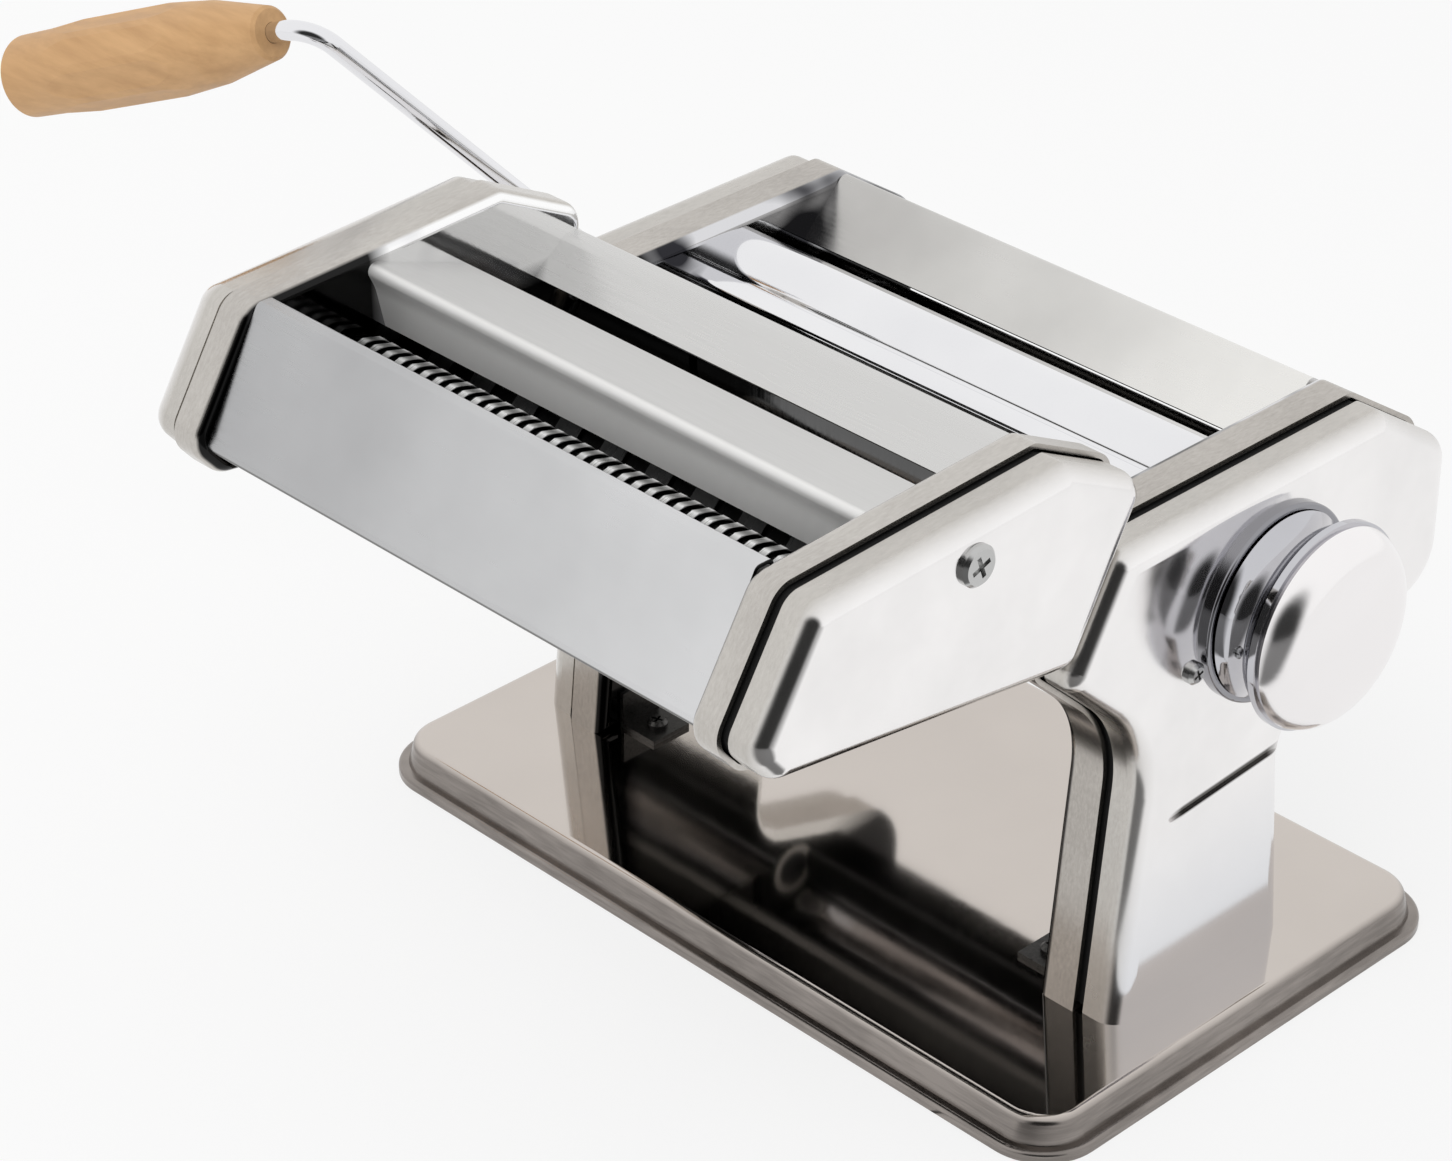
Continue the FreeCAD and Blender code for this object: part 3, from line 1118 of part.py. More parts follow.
# ------------------------------------------------------------------ the whole machine
def machine():
    """Every node by name: a solid or a list of solids."""
    half_step = 180.0 / ROLLER_TEETH
    cutter_step = 180.0 / CUTTER_TEETH
    fine = (FINE_PITCH, FINE_COUNT)
    wide = (WIDE_PITCH, WIDE_COUNT)
    return {
        "base_plate": base_plate().cut(foot_screw_holes()),
        "side_frame_right": side_frame(1),
        "side_frame_left": side_frame(-1),
        "side_cover_right": side_cover(1),
        "side_cover_left": side_cover(-1),
        "foot_tabs": foot_tabs(),
        "tie_rods": tie_rods(),
        "foot_screws": foot_screws(),
        "left_cover_screws": left_cover_screws(),
        "dial_screws": dial_screws(),
        "hopper_rear_plate": hopper_rear_plate(),
        "front_hood": front_hood(),
        "roller_bushes": roller_bushes(),
        "drive_bush": drive_bush(),
        "scraper_rear": scraper(REAR_Y, HALF),
        "docking_rails": docking_rails(),
        "dial_plate": dial_plate(),
        "adjusting_shaft": adjusting_shaft(),
        "knob_barrel": knob_barrel(),
        "knob_cap": knob_cap(),
        "carriage_block_right": carriage_block(1),
        "carriage_block_left": carriage_block(-1),
        "carriage_bar": carriage_bar(),
        "scraper_front": scraper(FRONT_OPEN_Y, HALF),
        "roller_front": roller(FRONT_OPEN_Y),
        "roller_rear": roller(REAR_Y),
        "roller_gear_front": roller_gear(FRONT_OPEN_Y, half_step),
        "roller_gear_rear": roller_gear(REAR_Y, 0.0),
        "drive_pinion": drive_pinion(),
        "drive_socket": drive_socket(),
        "crank_rod": crank_rod(),
        "crank_grip": crank_grip(),
        "grip_cap": grip_cap(),
        "cutter_end_plate_right": cutter_end_plate(1),
        "cutter_end_plate_left": cutter_end_plate(-1),
        "cutter_end_cover_right": cutter_end_cover(1),
        "cutter_end_cover_left": cutter_end_cover(-1),
        "cutter_cover_screws": cutter_cover_screws(),
        "cutter_front_panel": cutter_front_panel(),
        "cutter_ridge_plate": cutter_ridge_plate(),
        "cutter_back_plate": cutter_back_plate(),
        "fine_shaft_front": cutter_shaft(FINE_FRONT_AXIS, *fine, 0.0, True),
        "fine_shaft_rear": cutter_shaft(FINE_REAR_AXIS, *fine, FINE_PITCH / 2, False),
        "wide_shaft_front": cutter_shaft(WIDE_FRONT_AXIS, *wide, 0.0, False),
        "wide_shaft_rear": cutter_shaft(WIDE_REAR_AXIS, *wide, WIDE_PITCH / 2, True),
        "fine_gear_front": cutter_gear(FINE_FRONT_AXIS, 0.0),
        "fine_gear_rear": cutter_gear(FINE_REAR_AXIS, cutter_step),
        "wide_gear_front": cutter_gear(WIDE_FRONT_AXIS, 0.0),
        "wide_gear_rear": cutter_gear(WIDE_REAR_AXIS, cutter_step),
        "fine_comb_front": cutter_comb(FINE_FRONT_AXIS, *fine, 0.0, FINE_FRONT_COMB),
        "fine_comb_rear": cutter_comb(FINE_REAR_AXIS, *fine, FINE_PITCH / 2, FINE_REAR_COMB),
        "wide_comb_front": cutter_comb(WIDE_FRONT_AXIS, *wide, 0.0, WIDE_FRONT_COMB),
        "wide_comb_rear": cutter_comb(WIDE_REAR_AXIS, *wide, WIDE_PITCH / 2, WIDE_REAR_COMB),
    }


def main():
    os.makedirs("parts", exist_ok=True)
    for name, piece in machine().items():
        shape = Part.makeCompound(piece) if isinstance(piece, list) else piece
        shape.translate(vector(0, ORIGIN_SHIFT, 0))
        shape.exportStep("parts/" + name + ".step")
        print(name, len(shape.Solids), "solids", "valid" if shape.isValid() else "NOT VALID")


main()
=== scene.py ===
"""Looks for the pasta roller machine: camera, light, floor and the procedural metals of every piece."""
import math

import bmesh
import bpy
from mathutils import Matrix, Vector


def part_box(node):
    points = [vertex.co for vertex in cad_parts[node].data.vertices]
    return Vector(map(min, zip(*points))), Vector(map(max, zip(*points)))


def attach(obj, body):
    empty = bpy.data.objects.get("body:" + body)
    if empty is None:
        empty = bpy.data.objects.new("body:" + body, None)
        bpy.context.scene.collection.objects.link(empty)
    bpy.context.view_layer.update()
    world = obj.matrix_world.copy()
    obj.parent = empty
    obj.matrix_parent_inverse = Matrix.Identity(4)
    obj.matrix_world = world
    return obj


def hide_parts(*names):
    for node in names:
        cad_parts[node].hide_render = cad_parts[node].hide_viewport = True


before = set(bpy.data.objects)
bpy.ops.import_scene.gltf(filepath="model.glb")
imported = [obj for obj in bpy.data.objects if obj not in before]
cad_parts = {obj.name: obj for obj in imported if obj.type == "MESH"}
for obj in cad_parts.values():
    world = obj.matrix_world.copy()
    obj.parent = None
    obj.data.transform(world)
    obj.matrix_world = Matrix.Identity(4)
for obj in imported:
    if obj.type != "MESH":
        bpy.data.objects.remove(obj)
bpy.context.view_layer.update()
scene = bpy.context.scene

COVER_IN = 0.0850         # the black joint between each side frame and its cover ends here
COVER_OUT = 0.0945
CUTTER_COVER_IN = 0.0865  # the same on the cutter unit
CUTTER_COVER_OUT = 0.0958
CREASE = ((0.0536, 0.059), (0.0906, 0.0615))    # the pressed groove on the leg, y and z of its ends
BASE_HEIGHT = 0.009
FRAME_CHEEK = 0.0745      # half the width up to which a side frame's inner face reaches
PLATE_CHEEK = 0.0772      # the same on the cutter's end plates
RING_RADIUS = 0.0096      # the tops of the rings on the cutter shafts
FINE_AXES = ((-0.0488, 0.135), (-0.0304, 0.135))    # y and z of each cutter shaft
WIDE_AXES = ((-0.0078, 0.1275), (0.0106, 0.1275))
HOOD_THICKNESS = 0.9      # mm
JOINT_BLACK = (0.004, 0.004, 0.004)
# painted shade: the black of a plate's inner face below where it shows
PAINTED_SHADE_BLACK = (0.02, 0.02, 0.02)
UNDERSIDE_SHADE = (0.05, 0.047, 0.043)    # faces that look down, painted dark as painted shade
DARK_SIDE = (0.688, -0.712, 0.139)   # the way to the middle of the room's dark side
WORLD_LIGHT = 0.62
FLOOR_GLOW = 0.78         # how much of the floor is plain white to all but diffuse rays
FLOOR_HALF = 6.0
FLOOR_DROP = 0.0002


CAMERA_AZIMUTH = 45.88    # degrees, to the right of the front
CAMERA_ELEVATION = 31.17
CAMERA_RIGHT, CAMERA_UP, CAMERA_BACK = -0.15176, 0.006907, 1.098423    # metres from the aim
CAMERA_AIM = (0, 0.15467 + 0.0666, 0)
CAMERA_LENS = 103.4       # mm, on a sensor 36 mm wide


# ------------------------------------------------------------------ camera
def make_camera():
    azimuth = math.radians(CAMERA_AZIMUTH)
    elevation = math.radians(CAMERA_ELEVATION)
    right = Vector((math.cos(azimuth), math.sin(azimuth), 0))
    look = Vector((-math.sin(azimuth) * math.cos(elevation), math.cos(azimuth) * math.cos(elevation),
                   -math.sin(elevation)))
    up = right.cross(look)
    place = right * CAMERA_RIGHT + up * CAMERA_UP - look * CAMERA_BACK
    place += Vector(CAMERA_AIM)
    data = bpy.data.cameras.new("camera")
    data.sensor_width = 36
    data.lens = CAMERA_LENS
    data.clip_start = 0.05
    data.clip_end = 50
    camera = bpy.data.objects.new("camera", data)
    turn = Matrix((right, up, -look)).transposed().to_4x4()
    camera.matrix_world = Matrix.Translation(place) @ turn
    scene.collection.objects.link(camera)
    scene.camera = camera


# ------------------------------------------------------------------ material nodes
def scaled(colour, share):
    return tuple(share * c for c in colour)


class Nodes:
    """A material's nodes, with short calls to add and join them."""

    def __init__(self, name):
        self.material = bpy.data.materials.new(name)
        self.material.use_nodes = True
        self.tree = self.material.node_tree
        self.shader = self.tree.nodes["Principled BSDF"]
        self.place = self.tree.nodes.new("ShaderNodeTexCoord").outputs["Object"]

    def add(self, kind, inputs=None, **settings):
        node = self.tree.nodes.new("ShaderNode" + kind)
        for key, value in settings.items():
            setattr(node, key, value)
        for key, value in (inputs or {}).items():
            self.put(node.inputs[key], value)
        return node

    def put(self, socket, value):
        if isinstance(value, bpy.types.NodeSocket):
            self.tree.links.new(value, socket)
        else:
            socket.default_value = value

    def noise(self, scale, detail=3.0, stretch=(1, 1, 1), roughness=0.5):
        mapped = self.add("Mapping", {"Vector": self.place, "Scale": stretch}).outputs[0]
        return self.add("TexNoise", {"Vector": mapped, "Scale": scale, "Detail": detail,
                                     "Roughness": roughness}).outputs["Fac"]

    def ramp(self, value, low, high, start=0.3, end=0.7):
        return self.add("MapRange", {"Value": value, "From Min": start, "From Max": end,
                                     "To Min": low, "To Max": high}).outputs[0]

    def mix(self, share, first, second):
        node = self.add("Mix", data_type="RGBA")
        self.put(node.inputs[0], share)
        self.put(node.inputs[6], first if not isinstance(first, tuple) else (*first, 1))
        self.put(node.inputs[7], second if not isinstance(second, tuple) else (*second, 1))
        return node.outputs[2]

    def math(self, operation, first, second=0.0):
        node = self.add("Math", operation=operation)
        self.put(node.inputs[0], first)
        self.put(node.inputs[1], second)
        return node.outputs[0]

    def axis(self, name):
        """X, Y or Z of the point on the object. The nodes sit at the origin, so it is in metres."""
        return self.add("SeparateXYZ", {"Vector": self.place}).outputs[name]

    def underside(self):
        """1 on the faces that look down, which get painted shade, and 0 on the others."""
        facing = self.add("SeparateXYZ", {"Vector": self.add("NewGeometry").outputs["Normal"]}).outputs["Z"]
        return self.ramp(facing, 1, 0, -0.35, -0.1)

    def bump(self, height, strength, distance=0.0001):
        self.put(self.shader.inputs["Normal"], self.add("Bump", {
            "Height": height, "Strength": strength, "Distance": distance}).outputs[0])

    def set(self, **values):
        for key, value in values.items():
            socket = self.shader.inputs[key.replace("_", " ")]
            if isinstance(value, tuple) and len(value) == 3:
                value = (*value, 1)
            self.put(socket, value)


def polished(name, light, dark, rough_low, rough_high, shade_below=False):
    """Polished plate with faint clouds, wipe marks and hairlines; with the last argument set, the faces that
    look down are painted dark as painted shade.
    """
    n = Nodes(name)
    colour = n.mix(n.ramp(n.noise(18, 4), 0, 1), dark, light)
    # painted shade: faces that look down are written near black
    if shade_below:
        colour = n.mix(n.underside(), colour, UNDERSIDE_SHADE)
    n.set(Metallic=1.0, Base_Color=colour, Roughness=n.ramp(n.noise(45, 5), rough_low, rough_high))
    n.bump(n.noise(900, 2, (0.06, 1, 1)), 0.04)
    return n.material


def cover(name, face, rim, outside, inside=None, crease=None):
    """A pressed cover: a bright polished face, a satin rim, and a black joint up to the width inside.
    crease: y and z of the ends of a pressed groove, along which a dark line is painted as painted shade; below
    it the face is painted darker towards the bottom, as painted shade and reflection."""
    n = Nodes(name)
    side = n.math("ABSOLUTE", n.axis("X"))
    on_face = n.ramp(side, 0, 1, outside - 0.0045, outside - 0.0004)
    blotches = n.ramp(n.noise(26, 5, roughness=0.6), 0, 1, 0.35, 0.65)
    grain = n.noise(1500, 3, (1, 0.25, 0.4), 0.7)
    smears = n.noise(60, 4, (1, 0.5, 0.7))
    bright = n.mix(blotches, scaled(face, 0.92), face)
    satin_rim = n.mix(n.ramp(n.math("ADD", grain, smears), 0, 1, 0.7, 1.3), scaled(rim, 0.84), rim)
    if crease:
        (y0, z0), (y1, z1) = crease
        slope = (z1 - z0) / (y1 - y0)
        off = n.math("SUBTRACT", n.math("SUBTRACT", n.axis("Z"), z0),
                     n.math("MULTIPLY", n.math("SUBTRACT", n.axis("Y"), y0), slope))
        near = n.ramp(n.math("ABSOLUTE", off), 1, 0, 0.0009, 0.0016)
        within = n.ramp(n.math("ABSOLUTE", n.math("SUBTRACT", n.axis("Y"), (y0 + y1) / 2)), 1, 0,
                        (y1 - y0) / 2 - 0.004, (y1 - y0) / 2)
        # painted shade and reflection: the face gets darker towards the bottom of the leg below the crease
        bright = n.mix(n.ramp(off, 1, 0, -0.045, 0.0), bright, (0.74, 0.75, 0.78))
        # painted shade: a dark line along the crease
        bright = n.mix(n.math("MULTIPLY", near, within), bright, (0.09, 0.085, 0.08))
    colour = n.mix(on_face, satin_rim, bright)
    rough = n.math("SUBTRACT", 0.24, n.math("MULTIPLY", on_face, 0.14))
    rough = n.math("ADD", rough, n.math("MULTIPLY", blotches, 0.05))
    metal = 1.0
    if inside:
        joint = n.math("LESS_THAN", side, inside - 0.00002)
        colour = n.mix(joint, colour, JOINT_BLACK)
        rough = n.math("MAXIMUM", rough, n.math("MULTIPLY", joint, 0.7))
        metal = n.math("SUBTRACT", 1.0, joint)
    n.set(Metallic=metal, Base_Color=colour, Roughness=rough)
    n.bump(n.math("ADD", grain, n.math("MULTIPLY", n.noise(35, 3), 6.0)), 0.04)
    return n.material


def plated(name, light, dark, rough, cheek, shown, mirror, leg=None):
    """Satin plate with a warm tint outside. The inner face, up to the width cheek, is polished, with painted
    reflections in waves of the two shades of mirror where it shows, past the y and z of shown, and painted
    shade in black below.
    leg: past this y and under this z the inner face is plain and bright again."""
    n = Nodes(name)
    outer = n.ramp(n.math("ABSOLUTE", n.axis("X")), 0, 1, cheek, cheek + 0.0006)
    grain = n.noise(1500, 3, (1, 0.25, 0.4), 0.7)
    clouds = n.noise(30, 4)
    warm = n.mix(n.ramp(n.math("ADD", grain, clouds), 0, 1, 0.75, 1.25), dark, light)
    waves = n.noise(34, 2, (1, 1.0, 1.6), 0.4)
    # painted reflection: waves of a dark and a light shade on the inner face
    inner = n.mix(n.ramp(waves, 0, 1, 0.45, 0.56), *mirror)
    seen = n.math("MULTIPLY", n.ramp(n.axis("Y"), 0, 1, shown[0] - 0.003, shown[0] + 0.003),
                  n.ramp(n.axis("Z"), 0, 1, shown[1] - 0.002, shown[1] + 0.004))
    # painted shade: the inner face is black below shown
    inner = n.mix(seen, PAINTED_SHADE_BLACK, inner)
    if leg:
        on_leg = n.math("MULTIPLY", n.ramp(n.axis("Y"), 0, 1, leg[0] - 0.003, leg[0] + 0.003),
                        n.ramp(n.axis("Z"), 1, 0, leg[1] - 0.003, leg[1] + 0.003))
        inner = n.mix(on_leg, inner, (0.8, 0.8, 0.78))
    n.set(Base_Color=n.mix(outer, inner, warm), Metallic=1.0,
          Roughness=n.math("ADD", n.math("MULTIPLY", outer, rough - 0.08), 0.08))
    inside = n.math("SUBTRACT", 1.0, outer)
    n.bump(n.math("ADD", n.math("MULTIPLY", waves, n.math("MULTIPLY", inside, 30.0)),
                  n.math("ADD", grain, n.math("MULTIPLY", n.noise(55, 4), 6.0))), 0.05)
    return n.material


def sheet(name, left, right, rough):
    """Softly polished panel sheet, shaded from the left colour to the right one along X as painted light, with
    random clouds, and painted dark on its underside as painted shade.
    """
    n = Nodes(name)
    grain = n.noise(1300, 2, (0.06, 1, 1), 0.7)
    clouds = n.noise(24, 4)
    # painted light: the colour runs from the left end to the right, with random clouds on top
    painted_light_and_clouds = n.math("ADD", n.ramp(n.axis("X"), 0, 1, -0.075, 0.075),
                   n.math("MULTIPLY", n.math("SUBTRACT", clouds, 0.5), 0.9))
    below = n.underside()
    n.set(Base_Color=n.mix(below, n.mix(n.ramp(painted_light_and_clouds, 0, 1, 0.0, 1.0), left, right), UNDERSIDE_SHADE), Metallic=1.0,
          Roughness=n.ramp(n.math("ADD", grain, clouds), rough - 0.05, rough + 0.07, 0.7, 1.3))
    n.bump(grain, 0.04)
    return n.material


def ridge_material(name, front, rear):
    """Satin ridge: its upright front is painted lighter and less metallic as painted light, the whole plate is
    painted lighter towards +X as painted light with random clouds, and its slope mirrors softly.
    """
    n = Nodes(name)
    grain = n.noise(1300, 2, (0.06, 1, 1), 0.7)
    clouds = n.noise(24, 4)
    facing = n.add("SeparateXYZ", {"Vector": n.add("NewGeometry").outputs["Normal"]}).outputs["Y"]
    on_front = n.ramp(facing, 1, 0, -0.6, -0.2)
    painted_light_and_clouds = n.ramp(n.math("ADD", n.math("MULTIPLY", n.axis("X"), 5.0), clouds), 0.86, 1.0, 0.0, 1.0)
    # painted light: the upright front is written lighter than the slope
    shade = n.mix(on_front, rear, front)
    n.set(Base_Color=n.mix(painted_light_and_clouds, (0, 0, 0), shade), Metallic=n.ramp(on_front, 1.0, 0.15, 0.0, 1.0),
          Roughness=n.ramp(n.math("ADD", grain, clouds), 0.32, 0.44, 0.7, 1.3))
    n.bump(grain, 0.04)
    return n.material


def base_material(name, top, shoulder):
    """Mirror polished top, satin shoulder and hem."""
    n = Nodes(name)
    on_top = n.ramp(n.axis("Z"), 0, 1, BASE_HEIGHT - 0.0012, BASE_HEIGHT - 0.00005)
    clouds = n.noise(22, 4)
    grain = n.noise(900, 2, (0.08, 0.08, 1), 0.7)
    mirror = n.mix(n.ramp(clouds, 0, 1), scaled(top, 0.94), top)
    edge = n.mix(n.ramp(n.math("ADD", grain, clouds), 0, 1, 0.8, 1.2), scaled(shoulder, 0.7), shoulder)
    n.set(Base_Color=n.mix(on_top, edge, mirror), Metallic=1.0,
          Roughness=n.math("SUBTRACT", 0.24, n.math("MULTIPLY", on_top, n.ramp(clouds, 0.2, 0.17))))
    n.bump(n.math("ADD", grain, n.math("MULTIPLY", n.noise(40, 3), 8.0)), 0.02)
    return n.material


def satin(name, light, dark, rough, grain=1400):
    """Satin plate: a fine speckle with a warm tint."""
    n = Nodes(name)
    speckle = n.noise(grain, 2, (1, 1, 1), 0.8)
    clouds = n.noise(60, 3)
    share = n.math("MULTIPLY", n.ramp(speckle, 0, 1, 0.35, 0.65), n.ramp(clouds, 0.5, 1.0))
    n.set(Base_Color=n.mix(share, dark, light), Metallic=1.0,
          Roughness=n.ramp(speckle, rough - 0.08, rough + 0.1))
    n.bump(speckle, 0.12)
    return n.material


def ground(name, light, dark, rough, lines=(700, 1, 1)):
    """Ground steel: fine rings round the turning axis."""
    n = Nodes(name)
    rings = n.noise(3.0, 2, lines)
    clouds = n.noise(30, 3)
    n.set(Base_Color=n.mix(n.ramp(clouds, 0, 1), dark, light), Metallic=1.0,
          Roughness=n.ramp(rings, rough - 0.06, rough + 0.1))
    n.bump(rings, 0.06)
    return n.material


def cutting(name, axis, top, groove, metal):
    """Cutter shaft: ground ring tops, and grooves painted near black as painted shade."""
    n = Nodes(name)
    across = n.math("SUBTRACT", n.axis("Y"), axis[0])
    up = n.math("SUBTRACT", n.axis("Z"), axis[1])
    radius = n.math("SQRT", n.math("ADD", n.math("MULTIPLY", across, across), n.math("MULTIPLY", up, up)))
    on_top = n.ramp(radius, 0, 1, RING_RADIUS - 0.0005, RING_RADIUS - 0.0001)
    rings = n.noise(3.0, 2, (700, 1, 1))
    bright = n.mix(n.ramp(n.noise(60, 3), 0, 1), scaled(top, 0.8), top)
    # painted shade: the grooves below the ring tops are written near black
    n.set(Base_Color=n.mix(on_top, groove, bright), Metallic=n.ramp(on_top, 1.0, metal, 0, 1),
          Roughness=n.ramp(rings, 0.24, 0.4))
    n.bump(rings, 0.06)
    return n.material


def moulded(name, light, dark, rough):
    """Moulded nylon with a fine matt skin."""
    n = Nodes(name)
    n.set(Base_Color=n.mix(n.ramp(n.noise(90, 4), 0, 1), dark, light),
          Roughness=n.ramp(n.noise(250, 3), rough - 0.06, rough + 0.08))
    n.bump(n.noise(1500, 2), 0.06)
    return n.material


def black_nylon(name):
    """The combs and scrapers: black, dry and without shine."""
    n = Nodes(name)
    n.set(Base_Color=n.mix(n.ramp(n.noise(90, 4), 0, 1), (0.006, 0.006, 0.006), (0.014, 0.014, 0.015)),
          Roughness=n.ramp(n.noise(250, 3), 0.5, 0.65))
    n.shader.inputs["Specular IOR Level"].default_value = 0.15
    n.bump(n.noise(1500, 2), 0.06)
    return n.material


def grip_material(name, light, dark):
    """Pale grip: long soft grain under a thin varnish."""
    n = Nodes(name)
    grain = n.noise(260, 5, (0.12, 1, 1), 0.6)
    clouds = n.noise(22, 3)
    colour = n.mix(n.ramp(grain, 0, 1, 0.35, 0.65), dark, light)
    colour = n.mix(n.ramp(clouds, 0.0, 0.25), colour, dark)
    n.set(Base_Color=colour, Roughness=n.ramp(grain, 0.42, 0.56))
    n.shader.inputs["Specular IOR Level"].default_value = 0.3
    n.bump(grain, 0.1)
    return n.material


# ------------------------------------------------------------------ front hood
def arc(centre, radius, start, end, steps):
    """Points on an arc in y and z, from start to end in degrees."""
    turns = [math.radians(start + (end - start) * i / steps) for i in range(steps + 1)]
    return [(centre[0] + radius * math.cos(t), centre[1] + radius * math.sin(t)) for t in turns]


def hood_section():
    """The hood's outer line, in mm: skirt, flat ledge, groove, and the round crown down to its rear lip."""
    line = [(67.8, 108.2)]
    line += arc((69.3, 124.8), 1.5, 180, 92, 6)
    line += arc((73.2, 125.2), 1.2, 85, 20, 5)
    line += arc((75.5, 124.9), 1.2, 200, 300, 6)
    line += arc((86.0, 119.4), 10.9, 148, -14, 36)
    return line


def make_hood():
    """A rounded sheet over the front roller, in place of the plain crowned one, as long as that one."""
    low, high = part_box("front_hood")
    outer = [Vector(point) for point in hood_section()]
    inner = []
    for i, point in enumerate(outer):
        run = outer[min(i + 1, len(outer) - 1)] - outer[max(i - 1, 0)]
        inner.append(point + Vector((run.y, -run.x)).normalized() * HOOD_THICKNESS)
    loop = outer + inner[::-1]
    mesh = bmesh.new()
    rings = [[mesh.verts.new((x, p.x / 1000, p.y / 1000)) for p in loop] for x in (low[0], high[0])]
    count = len(loop)
    for i in range(count):
        j = (i + 1) % count
        mesh.faces.new((rings[0][i], rings[0][j], rings[1][j], rings[1][i]))
    half = len(outer)
    for ring in rings:
        for i in range(half - 1):
            mesh.faces.new((ring[i], ring[i + 1], ring[count - 2 - i], ring[count - 1 - i]))
    bmesh.ops.recalc_face_normals(mesh, faces=mesh.faces)
    data = bpy.data.meshes.new("hood_sheet")
    mesh.to_mesh(data)
    mesh.free()
    data.shade_smooth()
    data.set_sharp_from_angle(angle=math.radians(50))
    hood = bpy.data.objects.new("hood_sheet", data)
    scene.collection.objects.link(hood)
    data.materials.append(polished("hood_steel", (0.86, 0.86, 0.87), (0.78, 0.78, 0.8), 0.05, 0.1, True))
    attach(hood, "machine")
    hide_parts("front_hood")


def give(material, *names):
    """The material to the nodes named, in place of their own."""
    for name in names:
        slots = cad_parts[name].data.materials
        slots.clear()
        slots.append(material)


def dress():
    give(base_material("base_plate_steel", (0.6, 0.55, 0.51), (0.31, 0.28, 0.26)), "base_plate")
    face, rim = (0.93, 0.915, 0.91), (0.6, 0.575, 0.54)
    give(cover("side_cover_steel", face, rim, COVER_OUT, COVER_IN, CREASE), "side_cover_right")
    give(cover("cutter_cover_steel", face, rim, CUTTER_COVER_OUT, CUTTER_COVER_IN), "cutter_end_cover_right")
    give(cover("left_cover_steel", face, rim, COVER_OUT), "side_cover_left", "cutter_end_cover_left")
    give(plated("frame_steel", (0.54, 0.51, 0.475), (0.42, 0.395, 0.365), 0.24, FRAME_CHEEK, (0.057, 0.115),
                ((0.03, 0.03, 0.035), (0.7, 0.7, 0.72)), (0.048, 0.078)),
         "side_frame_right", "side_frame_left")
    give(plated("cutter_plate_steel", (0.6, 0.575, 0.54), (0.5, 0.475, 0.445), 0.24, PLATE_CHEEK,
                (-0.022, 0.1395), ((0.6, 0.6, 0.63), (0.97, 0.97, 0.97))),
         "cutter_end_plate_right", "cutter_end_plate_left")
    give(sheet("front_panel_steel", (0.43, 0.432, 0.438), (0.67, 0.672, 0.68), 0.22), "cutter_front_panel")
    give(ridge_material("ridge_steel", (0.95, 0.945, 0.93), (0.66, 0.655, 0.645)), "cutter_ridge_plate")
    give(sheet("back_plate_steel", (0.64, 0.635, 0.625), (0.66, 0.655, 0.645), 0.26), "cutter_back_plate")
    give(sheet("hopper_steel", (0.5, 0.49, 0.475), (0.82, 0.81, 0.785), 0.22), "hopper_rear_plate")
    make_hood()
    give(ground("roller_rear_steel", (0.5, 0.5, 0.51), (0.4, 0.4, 0.41), 0.14), "roller_rear")
    # painted shade: the front roller is written darker than the rear one, for the shade under the hood
    give(ground("roller_front_steel", (0.13, 0.13, 0.13), (0.09, 0.09, 0.09), 0.14), "roller_front")
    for name, axis in zip(("fine_shaft_front", "fine_shaft_rear"), FINE_AXES):
        give(cutting(name + "_steel", axis, (0.95, 0.95, 0.94), (0.006, 0.006, 0.006), 0.3), name)
    for name, axis in zip(("wide_shaft_front", "wide_shaft_rear"), WIDE_AXES):
        # painted shade: the wide shafts' ring tops are written dark, for the shade of the mouth they sit in
        give(cutting(name + "_steel", axis, (0.1, 0.1, 0.1), (0.006, 0.006, 0.006), 0.9), name)
    give(ground("gear_steel", (0.3, 0.3, 0.31), (0.2, 0.195, 0.19), 0.35),
         "roller_gear_front", "roller_gear_rear", "drive_pinion", "drive_socket", "fine_gear_front",
         "fine_gear_rear", "wide_gear_front", "wide_gear_rear", "adjusting_shaft")
    give(satin("bracket_steel", (0.12, 0.115, 0.11), (0.07, 0.068, 0.065), 0.35),
         "tie_rods", "docking_rails", "carriage_block_right", "carriage_block_left", "carriage_bar",
         "foot_tabs", "foot_screws")
    give(moulded("bush_nylon", (0.72, 0.7, 0.66), (0.66, 0.64, 0.6), 0.5), "roller_bushes", "drive_bush")
    give(black_nylon("comb_nylon"), "scraper_front", "scraper_rear",
         "fine_comb_front", "fine_comb_rear", "wide_comb_front", "wide_comb_rear")
    give(polished("knob_chrome", (0.62, 0.62, 0.65), (0.52, 0.52, 0.55), 0.04, 0.09), "knob_barrel")
    # painted reflection: the dial's chrome is written darker than the cap's, for the dark it mirrors
    give(polished("dial_chrome", (0.34, 0.34, 0.36), (0.28, 0.28, 0.3), 0.04, 0.09), "dial_plate")
    give(polished("cap_chrome", (0.94, 0.92, 0.92), (0.89, 0.87, 0.87), 0.14, 0.2), "knob_cap")
    give(polished("screw_steel", (0.6, 0.6, 0.6), (0.45, 0.45, 0.44), 0.16, 0.26),
         "left_cover_screws", "dial_screws", "cutter_cover_screws")
    give(polished("crank_steel", (0.85, 0.85, 0.87), (0.78, 0.78, 0.8), 0.04, 0.08), "crank_rod")
    give(grip_material("grip_wood", (0.72, 0.44, 0.215), (0.58, 0.335, 0.155)), "crank_grip")
    give(grip_material("grip_plug_wood", (0.64, 0.38, 0.18), (0.52, 0.29, 0.13)), "grip_cap")


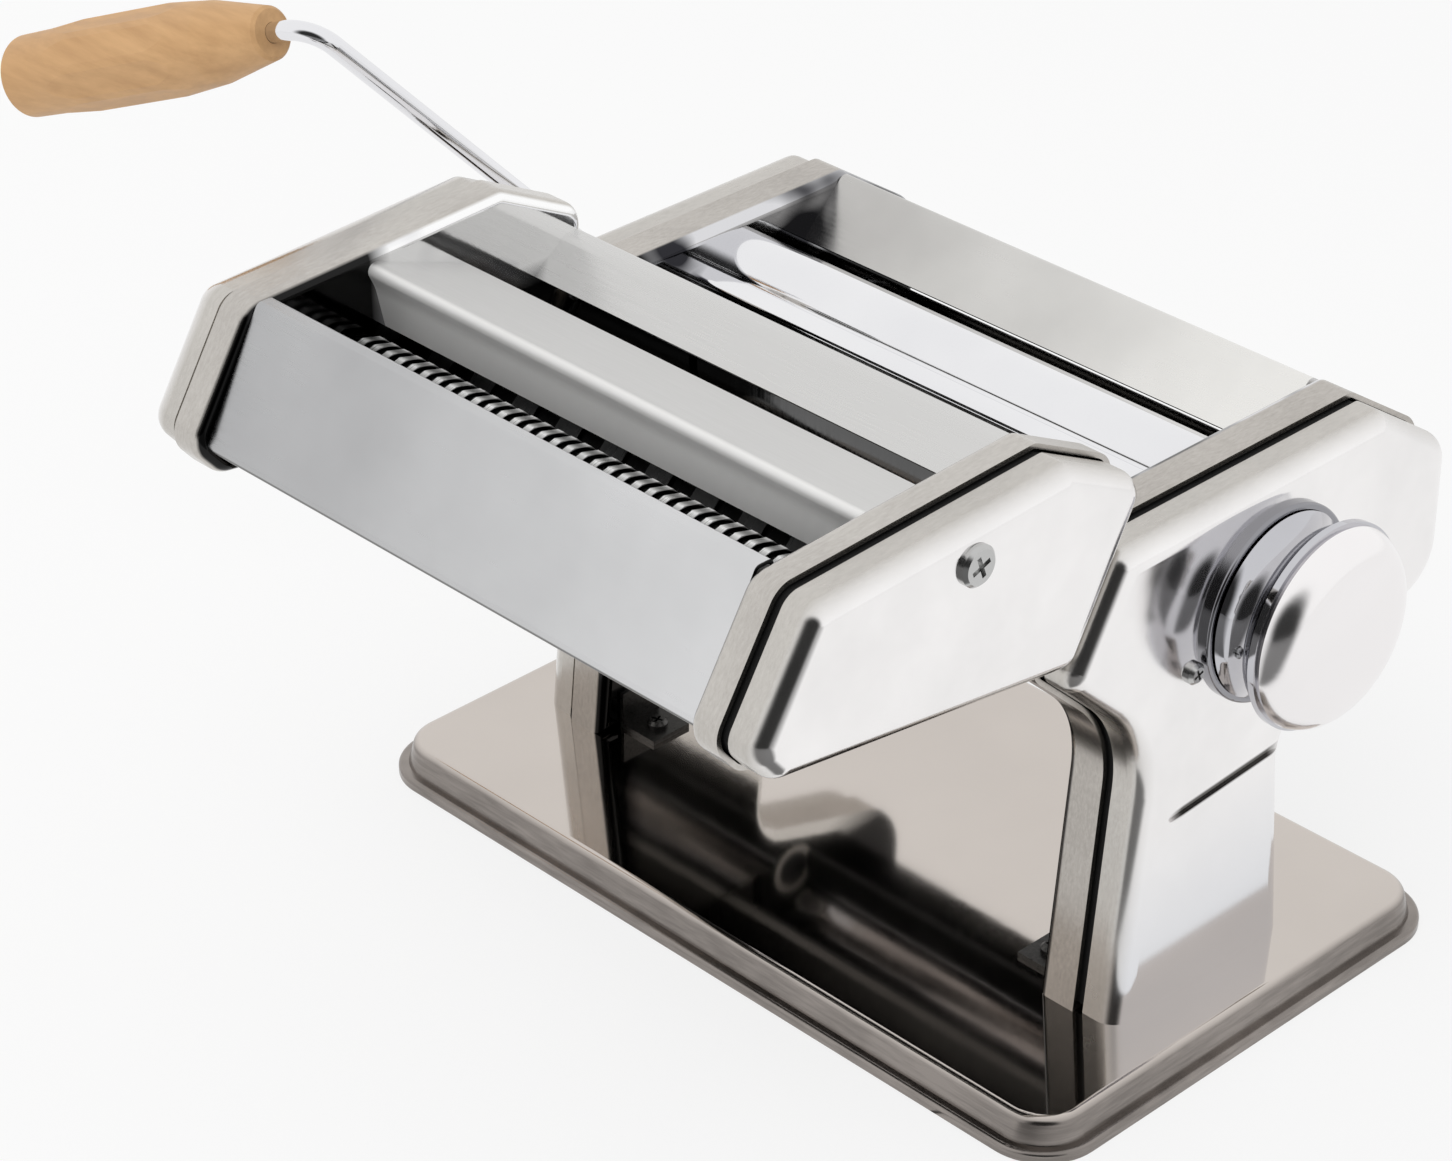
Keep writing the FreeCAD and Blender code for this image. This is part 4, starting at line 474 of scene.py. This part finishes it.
# ------------------------------------------------------------------ studio
def lamp(name, place, target, size, power):
    data = bpy.data.lights.new(name, "AREA")
    data.shape = "RECTANGLE"
    data.size, data.size_y = size
    data.energy = power
    piece = bpy.data.objects.new(name, data)
    piece.location = place
    piece.rotation_euler = (Vector(target) - Vector(place)).to_track_quat("-Z", "Y").to_euler()
    piece.visible_glossy = False
    scene.collection.objects.link(piece)


def not_diffuse(tree):
    """1 for camera, glossy and transmission rays, and 0 for the diffuse ones that light the object."""
    path = tree.nodes.new("ShaderNodeLightPath")
    total = path.outputs["Is Camera Ray"]
    for name in ("Is Glossy Ray", "Is Transmission Ray"):
        node = tree.nodes.new("ShaderNodeMath")
        node.operation = "MAXIMUM"
        tree.links.new(total, node.inputs[0])
        tree.links.new(path.outputs[name], node.inputs[1])
        total = node.outputs[0]
    return total


def dark_side(n, across, along, low, high):
    """How white the floor looks in a mirror: high all round, and down to low towards the room's dark
    side, in front on the right. across and along: the place measured across that way and along it."""
    sine = n.math("DIVIDE", n.math("ABSOLUTE", across), n.math("MAXIMUM", along, 0.001))
    return n.ramp(sine, 0.03, 1.0, low, high)


def make_floor():
    mesh = bpy.data.meshes.new("floor")
    corners = [(x * FLOOR_HALF, y * FLOOR_HALF, -FLOOR_DROP) for x, y in ((-1, -1), (1, -1), (1, 1), (-1, 1))]
    mesh.from_pydata(corners, [], [(0, 1, 2, 3)])
    floor = bpy.data.objects.new("floor", mesh)
    scene.collection.objects.link(floor)
    n = Nodes("floor_white")
    n.set(Base_Color=n.mix(n.noise(2), (0.97, 0.97, 0.97), (0.95, 0.95, 0.95)), Roughness=0.8)
    aside = n.math("SUBTRACT", n.axis("X"), 0.095)
    ahead = n.math("ADD", n.axis("Y"), 0.02)
    room = dark_side(n, n.math("ADD", aside, ahead), n.math("SUBTRACT", aside, ahead), 0.5, 1.0)
    camera = n.add("LightPath").outputs["Is Camera Ray"]
    glow = n.add("Emission", {"Strength": n.math("MAXIMUM", camera, room)})
    mix = n.add("MixShader")
    n.put(mix.inputs[0], n.math("MULTIPLY", not_diffuse(n.tree), FLOOR_GLOW))
    n.put(mix.inputs[1], n.shader.outputs[0])
    n.put(mix.inputs[2], glow.outputs[0])
    n.put(n.tree.nodes["Material Output"].inputs["Surface"], mix.outputs[0])
    mesh.materials.append(n.material)


def make_world():
    """White all round, with one dark side to the room, which only the bright metal shows."""
    world = bpy.data.worlds.new("studio")
    world.use_nodes = True
    tree = world.node_tree
    scene.world = world
    light = tree.nodes["Background"]
    light.inputs["Color"].default_value = (1, 1, 1, 1)
    light.inputs["Strength"].default_value = WORLD_LIGHT
    seen = tree.nodes.new("ShaderNodeBackground")
    seen.inputs["Color"].default_value = (1, 1, 1, 1)
    towards = tree.nodes.new("ShaderNodeTexCoord").outputs["Generated"]
    angle = tree.nodes.new("ShaderNodeVectorMath")
    angle.operation = "DOT_PRODUCT"
    tree.links.new(towards, angle.inputs[0])
    angle.inputs[1].default_value = DARK_SIDE
    shade = tree.nodes.new("ShaderNodeMapRange")
    shade.interpolation_type = "SMOOTHSTEP"
    tree.links.new(angle.outputs["Value"], shade.inputs["Value"])
    for key, value in (("From Min", 0.72), ("From Max", 0.93), ("To Min", 1.0), ("To Max", 0.03)):
        shade.inputs[key].default_value = value
    tree.links.new(shade.outputs[0], seen.inputs["Strength"])
    mix = tree.nodes.new("ShaderNodeMixShader")
    tree.links.new(not_diffuse(tree), mix.inputs[0])
    tree.links.new(light.outputs[0], mix.inputs[1])
    tree.links.new(seen.outputs[0], mix.inputs[2])
    tree.links.new(mix.outputs[0], tree.nodes["World Output"].inputs["Surface"])


def make_studio():
    make_world()
    make_floor()
    middle = (0, 0.06, 0.08)
    lamp("key", (0.5, -1.0, 1.6), middle, (1.2, 1.2), 9)
    lamp("fill", (-1.3, -0.3, 1.2), middle, (1.0, 1.0), 4)


make_camera()
make_studio()
dress()
scene.view_settings.view_transform = "Standard"
